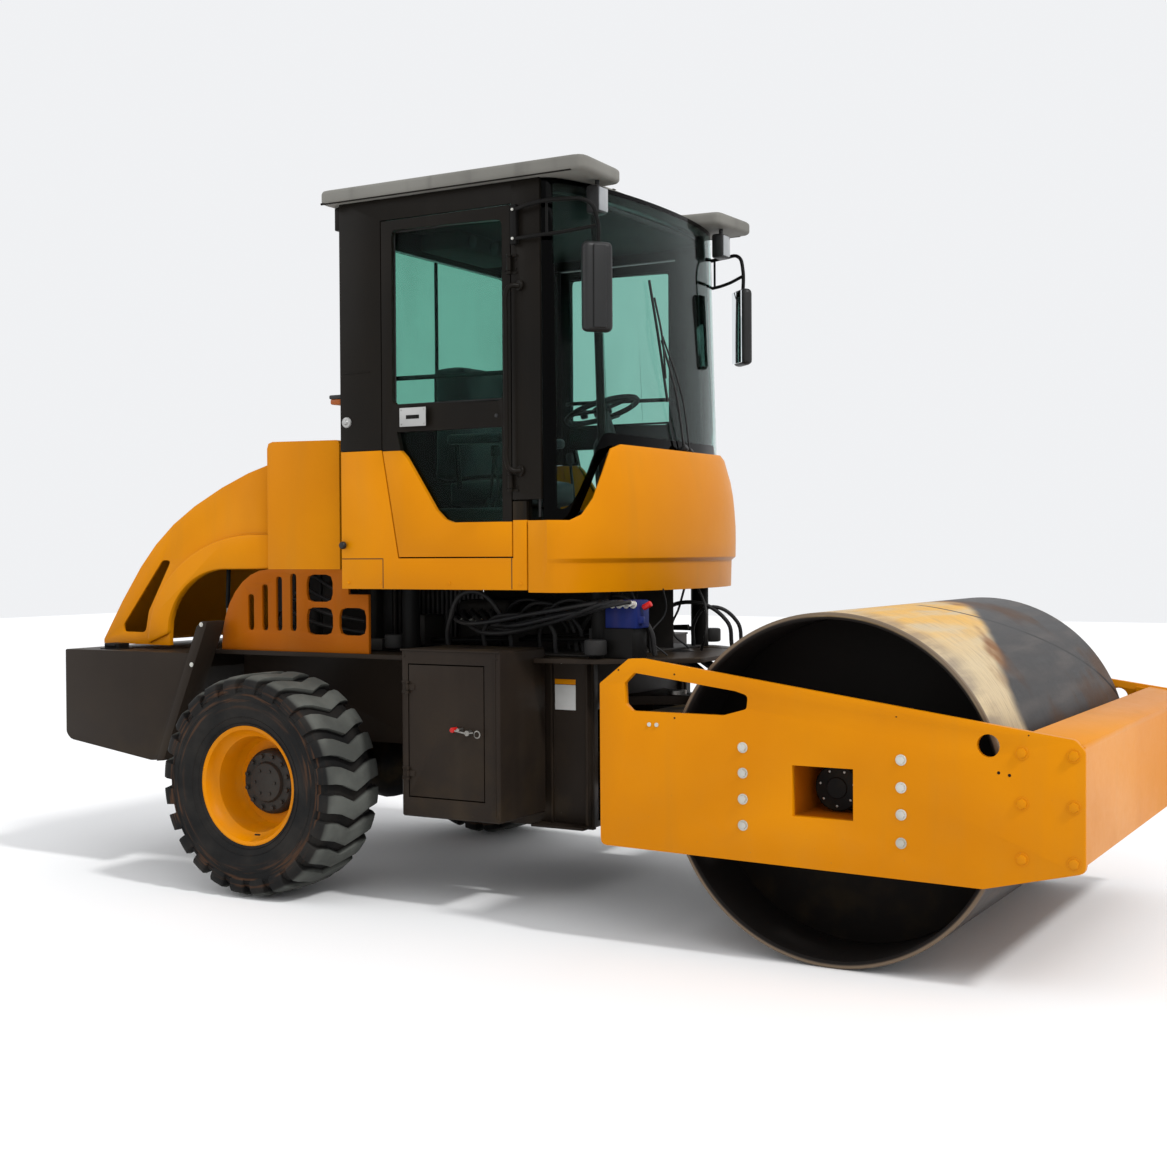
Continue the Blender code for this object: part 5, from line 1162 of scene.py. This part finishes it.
# mirrors: two bent tubes from a clamp on the pillar carry a tall housing
for side, hand in sides:
    y = side * 0.87
    far = side * 0.775
    bend = [(-1.57, y, 3.18), (-1.47, side * 0.88, 3.196), (-1.33, side * 0.85, 3.205),
            (-1.225, side * 0.8, 3.19), (-1.196, side * 0.78, 3.13), (-1.194, far, 2.96),
            (-1.194, far, 2.7)]
    lower = [(-1.57, y, 3.05), (-1.45, side * 0.878, 3.052), (-1.32, side * 0.842, 3.062),
             (-1.199, side * 0.782, 3.085)]
    parts = [tube("upper", bend, 0.0095), tube("lower", lower, 0.0085),
             bar("stay", (-1.4, side * 0.868, 3.055), (-1.4, side * 0.868, 3.202), 0.006, 14),
             wideBlock("clamp", (-1.588, -1.556), side * 0.865, 0.014, (3.025, 3.205), 0.005)]
    carrier = gather(hand + " mirror arm", parts)
    fit(carrier, "black")
    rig.replaces(carrier, hand + "_mirror")
    spots = [(-1.572, side * 0.88, z) for z in (3.05, 3.18)]
    bolts(hand + " clamp bolts", spots, (0, side, 0), 0.007, 0.006, "zinc", "rear_frame")
    turn = Matrix.Rotation(math.radians(side * (43 + side * 5)), 4, "Z")
    middle = world((-1.196, side * 0.778, 2.815))
    shells = []
    for low, high, edge in (((-0.032, -0.07, -0.2), (0.03, 0.07, 0.2), 0.026),
                            ((0.026, -0.03, -0.185), (0.04, 0.03, 0.185), 0.006)):
        shells.append(block("shell", low, high, edge, 4))
    face = block("face", (-0.0365, -0.06, -0.188), (-0.031, 0.06, 0.188), 0.002)
    for piece in shells + [face]:
        moved(piece, Matrix.Translation(middle) @ turn)
    group(hand + " mirror shell", shells, "plastic")
    face.name = hand + " mirror glass"
    fit(face, "mirror")

# roof: lifting eyes, ribs and drip edge
for x in (-1.72, -2.52):
    eye = tube("roof lifting eye", [(x - 0.016, 0.0, 3.34), (x - 0.018, 0.0, 3.362), (x, 0.0, 3.378),
                                    (x + 0.018, 0.0, 3.362), (x + 0.016, 0.0, 3.34)], 0.005)
    eye.name = "roof lifting eye %d" % round(-x * 10)
    fit(eye, "black")
rib = [block("rib", (-2.6, y - 0.012, 3.38), (-1.42, y + 0.012, 3.3842), 0.0018) for y in (-0.55, -0.2,
                                                                                           0.2, 0.55)]
group("roof ribs", rib, "roof")
drip = [bar("drip", (-2.655, side * 0.89, 3.322), (-1.26, side * 0.89, 3.322), 0.006, 12) for side,
        hand in sides]
group("roof drip edge", drip, "cab")

# wiper over the windshield
def screen(y, z, off=0.0):
    # a point on the windshield, which curves back towards its sides and its top
    low = -1.2 - (z - 2.1) * 0.055
    return (low - 0.19 * (abs(y) / 0.838) ** 2.2 + off, y, z)


wiperBits = [
    tube("arm", [screen(0.03, 2.15, 0.03), screen(-0.045, 2.4, 0.04), screen(-0.14, 2.65, 0.03)], 0.0055),
    tube("arm", [screen(0.095, 2.135, 0.03), screen(0.01, 2.4, 0.042), screen(-0.132, 2.67, 0.032)],
         0.0045),
    tube("yoke", [screen(-0.175, 2.85, 0.024), screen(-0.15, 2.66, 0.04), screen(-0.11, 2.47, 0.024)],
         0.005),
    tube("blade", [screen(-0.2, 2.93, 0.016), screen(-0.145, 2.645, 0.018), screen(-0.09, 2.36, 0.016)],
         0.0065),
    bar("hub", screen(0.03, 2.12, 0.004), screen(0.03, 2.15, 0.046), 0.017, 24, 0.004),
    bar("hub", screen(0.095, 2.11, 0.004), screen(0.095, 2.136, 0.044), 0.013, 24, 0.003),
]
group("wiper", wiperBits, "plastic")

# ---- inside the cab: each pad is its node's box, drawn in, inflated as cloth and eased
padding = {"drawnIn": 0.93, "cuts": 18, "edge": 0.012, "voxel": 0.0075, "pressure": 3.0, "steps": 8,
           "fill": 0.8}
for node in ("seat_cushion", "seat_back"):
    low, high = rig.box(node)
    bpy.ops.mesh.primitive_cube_add(size=1, location=(low + high) / 2)
    bpy.context.active_object.scale = [extent * padding["drawnIn"] for extent in high - low]
    pad = useOnly(settle(node + " cover"))
    bpy.ops.object.mode_set(mode="EDIT")
    bpy.ops.mesh.select_all(action="SELECT")
    bpy.ops.mesh.subdivide(number_cuts=padding["cuts"])
    bpy.ops.object.mode_set(mode="OBJECT")
    applied(pad, "BEVEL", width=padding["edge"], segments=2, limit_method="ANGLE",
            angle_limit=math.radians(40))
    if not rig.quick():
        applied(pad, "REMESH", mode="VOXEL", voxel_size=padding["voxel"])
        bpy.ops.object.modifier_add(type="CLOTH")
        cloth = pad.modifiers[-1]
        cloth.settings.use_pressure = True
        cloth.settings.uniform_pressure_force = padding["pressure"]
        cloth.settings.effector_weights.gravity = 0
        for step in range(padding["steps"]):
            bpy.context.scene.frame_set(step + 1)
        bpy.ops.object.modifier_apply(modifier=cloth.name)
        bpy.context.scene.frame_set(1)
    applied(pad, "SMOOTH", factor=0.5, iterations=6)
    fit(smooth(pad, 60), "cloth")
    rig.replaces(pad, node)
    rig.padded(pad, fill=padding["fill"])
print("seat padded")


# ---- seat frame, controls and lining
seatBits = []
for side, hand in sides:
    arm = wideBlock(hand + " armrest", (-2.33, -2.01), side * 0.29, 0.03, (2.185, 2.235), 0.016, 3)
    fit(arm, "cloth")
    seatBits.append(bar("post", (-2.29, side * 0.262, 1.96), (-2.29, side * 0.285, 2.19), 0.014, 20, 0.003))
    seatBits.append(wideBlock("slide", (-2.37, -1.95), side * 0.15, 0.018, (1.862, 1.88), 0.003))
seatBits.append(block("shell", (-2.478, -0.215, 2.05), (-2.462, 0.215, 2.56), 0.006))
group("seat frame", seatBits, "plastic")
foldProfile = [(0.15, -0.012), (0.172, 0.0), (0.15, 0.012), (0.15, -0.012)]
bellows = [moved(turned("fold", foldProfile, (0, 0, 0), 40), upright((-2.16, 0, 1.62 + k * 0.045)))
           for k in range(5)]
group("seat bellows", bellows, "grip")
belt = tube("seat belt", [(-2.33, -0.255, 2.01), (-2.2, -0.2, 2.025), (-2.08, -0.1, 2.03),
                          (-2.02, 0.02, 2.024)], 0.01)
fit(belt, "seal")

dashBits = [
    block("hood", (-1.47, -0.33, 2.06), (-1.33, 0.33, 2.15), 0.03, 4),
    block("body", (-1.455, -0.3, 1.9), (-1.345, 0.3, 2.07), 0.02, 3),
]
group("dash", dashBits, "dash")
dialSpots = (-0.12, 0.0, 0.12)
dials = [bar("dial", (-1.468, y, 2.11), (-1.478, y, 2.114), 0.034, 28, 0.002) for y in dialSpots]
group("dials", dials, "label")
bezels = [bar("bezel", (-1.462, y, 2.108), (-1.476, y, 2.113), 0.04, 28, 0.002) for y in dialSpots]
group("dial bezels", bezels, "plastic")
rockers = [wideBlock("rocker", (-1.462, -1.452), y, 0.012, (1.985, 2.02), 0.003)
           for y in (-0.2, -0.16, -0.12, 0.12, 0.16, 0.2)]
group("rocker switches", rockers, "plastic")

leverSpots = ((-2.02, -0.4, 0.03), (-1.96, -0.4, -0.02), (-1.9, -0.4, 0.02), (-2.0, 0.4, -0.03))
levers, knobs = [], []
for x, y, lean in leverSpots:
    levers.append(bar("stick", (x, y, 1.86), (x + lean, y, 2.12), 0.008, 16, 0.001))
    levers.append(bar("boot", (x, y, 1.858), (x + lean * 0.2, y, 1.905), 0.03, 24, 0.003, 0.012))
group("levers", levers, "plastic")
for x, y, lean in leverSpots:
    knobs.append(bar("knob", (x + lean, y, 2.11), (x + lean * 1.15, y, 2.165), 0.02, 24, 0.008))
group("lever knobs", knobs, "grip")
consoles = [wideBlock("console", (-2.3, -1.84), side * 0.4, 0.075, (1.545, 1.86), 0.02, 3)
            for side, hand in sides]
group("side consoles", consoles, "dash")
pedals = [wideBlock("pedal", (-1.56, -1.48), y, 0.045, (1.61, 1.622)) for y in (-0.26, 0.25)]
pedals += [bar("stem", (-1.5, y, 1.54), (-1.51, y, 1.612), 0.009, 14) for y in (-0.26, 0.25)]
group("pedals", pedals, "black")
mat = block("floor mat", (-2.3, -0.7, 1.536), (-1.48, 0.7, 1.546), 0.003)
fit(mat, "grip")
headliner = [block("liner", (-2.52, -0.79, 3.262), (-1.42, 0.79, 3.296), 0.012, 3),
             block("duct", (-2.5, -0.3, 3.17), (-2.25, 0.3, 3.264), 0.02, 3)]
group("headliner", headliner, "lining")
vents = [bar("vent", (-2.252, y, 3.215), (-2.24, y, 3.213), 0.034, 24, 0.003) for y in (-0.2, 0.0, 0.2)]
group("air vents", vents, "plastic")
for side, hand in sides:
    rail = tube(hand + " window rail", [
        (-2.29, side * 0.83, 2.47), (-2.282, side * 0.806, 2.47), (-2.24, side * 0.8, 2.47),
        (-1.69, side * 0.8, 2.463), (-1.645, side * 0.806, 2.462), (-1.636, side * 0.83, 2.462)], 0.011)
    fit(rail, "plastic", hand + "_door")
inner = tube("rear window bar", [(-2.548, -0.09, 2.31), (-2.546, -0.09, 2.7), (-2.548, -0.09, 3.15)], 0.01)
fit(inner, "plastic")
boss = turned("wheel boss", [(0.0001, 0.012), (0.03, 0.01), (0.034, 0.0), (0.0001, 0.0)], (0, 0, 0), 28)
tilt = standing((-1.61, 0, 2.355), (-0.35, 0, 0.94)) @ Matrix.Rotation(math.pi / 2, 4, "X")
fit(moved(boss, tilt), "plastic")
knob = bar("spinner knob", (-1.755, 0.08, 2.315), (-1.768, 0.08, 2.365), 0.019, 24, 0.008)
fit(knob, "plastic")
stalk = bar("turn stalk", (-1.585, 0.02, 2.3), (-1.62, 0.19, 2.33), 0.006, 14, 0.001)
fit(stalk, "plastic")
print("cab fitted out")


# ---- under the cab and over the chassis: pump, valve block, pipes and hoses
underside = [
    block("pump", (-2.38, -0.17, 1.165), (-2.06, 0.17, 1.4), 0.03, 3),
    bar("motor", (-2.06, 0.0, 1.29), (-1.93, 0.0, 1.29), 0.105, 36, 0.01),
    bar("flange", (-1.945, 0.0, 1.29), (-1.925, 0.0, 1.29), 0.13, 36, 0.004),
    block("bracket", (-1.9, -0.42, 1.152), (-1.88, 0.42, 1.3), 0.003),
    bar("accumulator", (-1.76, 0.22, 1.225), (-1.5, 0.22, 1.225), 0.062, 32, 0.018),
    block("tray", (-2.45, -0.48, 1.151), (-1.3, 0.48, 1.16), 0.002),
    block("fuse box", (-2.48, -0.42, 1.18), (-2.4, -0.24, 1.33), 0.008),
    block("splash plate", (-2.44, 0.176, 1.158), (-1.31, 0.182, 1.462), 0.002),
]
group("pump set", underside, "iron")
crossBars = [bar("pipe", (-2.5, y, z), (-1.3, y + shift, z + lift), 0.011, 16) for y, z, shift, lift in (
    (-0.36, 1.2, 0.02, 0.03), (-0.31, 1.195, 0.03, 0.06), (0.33, 1.21, 0.0, 0.05), (0.4, 1.25, -0.04, 0.0))]
group("hard pipes", crossBars, "black")
postBits = [bar("mount", (x, side * y, 1.17), (x, side * y, 1.24), 0.052, 28, 0.01)
            for side, hand in sides for x, y in ((-1.31, 0.61), (-2.48, 0.56))]
group("cab mounts", postBits, "grip")
valve = [
    block("valve", (-1.3, -0.545, 1.29), (-1.13, -0.42, 1.42), 0.008),
    block("spool", (-1.316, -0.53, 1.312), (-1.114, -0.49, 1.345), 0.006),
]
group("valve block", valve, "blue")
fit(bar("valve tap", (-1.12, -0.5, 1.385), (-1.08, -0.5, 1.405), 0.014, 20, 0.004), "red")
fit(block("valve carrier", (-1.38, -0.55, 1.151), (-1.15, -0.41, 1.29), 0.004), "black")
nuts = [standing((-1.29 + 0.036 * k, -0.547, 1.4), (0, -1, 0.2)) for k in range(5)]
nuts += [standing((-2.33 + 0.06 * k, -0.175, 1.3), (0, -1, 0.3)) for k in range(5)]
nuts += [standing((-1.73 + 0.05 * k, 0.22, 1.292), (0, -0.2, 1)) for k in range(4)]
fit(spread("hose ends", boltModel("end", 0.015, 0.034, 0.018), nuts), "zinc")

starts = [(-2.33 + 0.06 * k, -0.21, 1.312) for k in range(5)]
ends = [(-1.29 + 0.036 * k, -0.585, 1.412) for k in range(5)]
hoses = []
for k, (start, end) in enumerate(zip(starts, ends)):
    sag = 1.2 + dice.uniform(0.0, 0.1)
    side = -0.52 + dice.uniform(-0.05, 0.05)
    hoses.append(tube("hose", [start, (start[0] + 0.03, -0.33, start[2] + 0.04), (-2.05 + 0.05 * k, side,
                                                                                  sag),
                               (-1.62 + 0.03 * k, side - 0.02, sag + 0.06), (end[0], end[1] - 0.03,
                                                                             end[2]), end],
                      0.0105 + 0.0015 * (k % 2)))
for k in range(12):
    x = -2.42 + 0.1 * k + dice.uniform(-0.03, 0.03)
    y = dice.uniform(-0.56, 0.45)
    reach = dice.uniform(0.16, 0.42)
    top = dice.uniform(1.34, 1.455)
    hoses.append(tube("hose", [(x, y, 1.16), (x + 0.02, y - 0.03, 1.28), (x + reach * 0.5, y - 0.05, top),
                               (x + reach, y + 0.02, 1.29), (x + reach + 0.02, y + 0.04, 1.16)],
                      dice.uniform(0.007, 0.013)))
group("hoses under the cab", hoses, "hose")
drops = []
for k in range(9):
    x = -1.48 + 0.045 * k
    y = dice.uniform(-0.5, 0.5)
    drops.append(tube("drop", [(x, y, 1.468), (x + dice.uniform(-0.05, 0.05), y + 0.03, 1.36),
                               (x + dice.uniform(-0.07, 0.07), y - 0.04, 1.24), (x + 0.02, y, 1.155)],
                      dice.uniform(0.004, 0.008)))
group("cable drops", drops, "hose")

# hoses over the steering pivot bend with it between these two places
bendFrom, bendTo = world((-1.4, 0, 1.0)), world((-0.98, 0, 1.0))
for k, y in enumerate((-0.09, -0.045, 0.045, 0.09)):
    line = tube("pivot hose %d" % (k + 1), [(-1.45, y * 1.3, 1.06), (-1.33, y * 1.2, 1.12),
                                            (-1.2, y, 1.13 + 0.006 * k),
                                        (-1.05, y * 1.2, 1.08), (-0.93, y * 1.5, 0.935)], 0.013)
    applied(line, "SUBSURF", levels=1)
    fit(line, "hose", None)
    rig.blend(line, "rear_frame", "drum_frame", bendFrom, bendTo)

# engine: block dressed with head, pulley, filter, fan, radiator and exhaust, seen through the grilles
engineBits = [
    block("head", (-3.38, -0.2, 1.69), (-2.86, 0.2, 1.79), 0.016, 3),
    block("sump", (-3.36, -0.2, 0.77), (-2.88, 0.2, 0.81), 0.016, 3),
    bar("filter", (-3.06, -0.49, 1.18), (-3.06, -0.49, 1.39), 0.048, 28, 0.008),
    bar("starter", (-3.34, -0.49, 1.22), (-3.12, -0.49, 1.22), 0.05, 28, 0.008),
    bar("pulley", (-2.78, 0.0, 1.18), (-2.745, 0.0, 1.18), 0.11, 40, 0.006),
    bar("alternator", (-2.92, -0.5, 1.44), (-2.8, -0.5, 1.44), 0.07, 28, 0.01),
    bar("muffler", (-3.08, 0.43, 1.84), (-2.76, 0.43, 1.84), 0.085, 36, 0.014),
    block("rail", (-3.42, -0.56, 1.155), (-2.56, -0.52, 1.215), 0.006),
    block("rail", (-3.42, 0.52, 1.155), (-2.56, 0.56, 1.215), 0.006),
]
for k in range(6):
    engineBits.append(block("rib", (-3.36 + 0.085 * k, -0.486, 1.23), (-3.345 + 0.085 * k, -0.47, 1.62),
                            0.003))
    engineBits.append(bar("runner", (-3.33 + 0.085 * k, -0.47, 1.64), (-3.33 + 0.085 * k, -0.54, 1.56),
                          0.02, 18, 0.003))
group("engine dressing", engineBits, "iron")
blades = []
for k in range(7):
    turn = math.tau * k / 7
    blades.append(plate("blade", [(0.05, -0.03), (0.22, -0.045), (0.22, 0.03), (0.05, 0.02)], -0.003,
                        0.003, "z", 0.001, 1))
    placed = standing((-2.72, 0, 1.3), (1, 0, 0)) @ Matrix.Rotation(turn, 4, "Z") @ Matrix.Rotation(0.5, 4,
                                                                                                    "X")
    moved(blades[-1], placed)
group("fan", blades, "plastic")
core = block("radiator", (-2.66, -0.42, 1.165), (-2.6, 0.42, 1.64), 0.008)
fit(core, "black")
fins = [block("fin", (-2.6, -0.41 + 0.041 * k, 1.18), (-2.594, -0.392 + 0.041 * k, 1.625), 0.001, 1)
        for k in range(20)]
group("radiator fins", fins, "iron")
engineHoses = []
for k in range(6):
    z = 1.3 + 0.06 * k
    engineHoses.append(tube("line", [(-3.3 + 0.07 * k, -0.5, z), (-3.15 + 0.06 * k, -0.6, z + 0.05),
                                     (-2.9 + 0.03 * k, -0.61, z - 0.02), (-2.7, -0.52, z - 0.06)], 0.01))
group("engine hoses", engineHoses, "hose")
fit(spread("engine bolts", boltModel("bolt", 0.011, 0.01, 0.015),
           [standing((-3.34 + 0.085 * k, y, 1.79), (0, 0, 1)) for k in range(6) for y in (-0.14, 0.14)]),
           "zinc")
print("chassis dressed")


# ---- floor, light and camera
bpy.ops.mesh.primitive_plane_add(size=60, location=(0, 0, -0.002))
floor = settle("studio floor")
bpy.ops.object.mode_set(mode="EDIT")
bpy.ops.mesh.subdivide(number_cuts=3)
bpy.ops.object.mode_set(mode="OBJECT")
shop = Shop("studio floor")
softly = shop.noise(0.5, 2)
paper = shop.mix(softly, (0.86, 0.86, 0.86), (0.9, 0.9, 0.9))
floor.data.materials.append(shop.finish(colour=paper, roughness=0.85 + softly * 0.05))
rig.stage(floor)

sky = bpy.data.worlds.new("studio")
bpy.context.scene.world = sky
sky.use_nodes = True
sky.node_tree.nodes["Background"].inputs["Color"].default_value = (0.97, 0.98, 1.0, 1)
sky.node_tree.nodes["Background"].inputs["Strength"].default_value = 0.9

lamps = (
    {"kind": "SUN", "spot": (4, -1, 8), "aim": (0.66, -0.13, 0.74), "power": 1.55, "size": 0.1},
    {"kind": "AREA", "spot": (5.0, -6.0, 7.0), "aim": (0.55, -0.55, 0.63), "power": 90, "size": 5.0},
    {"kind": "AREA", "spot": (-6.0, -5.0, 5.0), "aim": (-0.66, -0.5, 0.56), "power": 50, "size": 4.0},
)
for lamp in lamps:
    bpy.ops.object.light_add(type=lamp["kind"], location=lamp["spot"])
    light = bpy.context.active_object
    light.rotation_euler = Vector(lamp["aim"]).to_track_quat("Z", "Y").to_euler()
    light.data.energy = lamp["power"]
    if lamp["kind"] == "SUN":
        light.data.angle = lamp["size"]
    else:
        light.data.size = lamp["size"]

camera = {"place": (4.0485, -7.04, 1.644), "heading": 29.99, "dip": 0.87, "lean": -0.339, "lens": 49.96}
bpy.ops.object.camera_add()
lookout = bpy.context.active_object
aim = Matrix.Rotation(math.radians(camera["heading"]), 4, "Z")
aim = aim @ Matrix.Rotation(math.radians(90 - camera["dip"]), 4, "X")
aim = aim @ Matrix.Rotation(math.radians(camera["lean"]), 4, "Z")
lookout.matrix_world = Matrix.Translation(camera["place"]) @ aim
lookout.data.lens = camera["lens"]
lookout.data.sensor_width = 36
lookout.data.dof.use_dof = False
bpy.context.scene.camera = lookout
bpy.context.scene.view_settings.view_transform = "Standard"

with open("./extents.json", "w") as sizes:
    json.dump({"cad": cadBox, "shown": [list(corner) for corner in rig.bounds()]}, sizes)
print("shown pieces:", len(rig.table().get("pieces", [])))
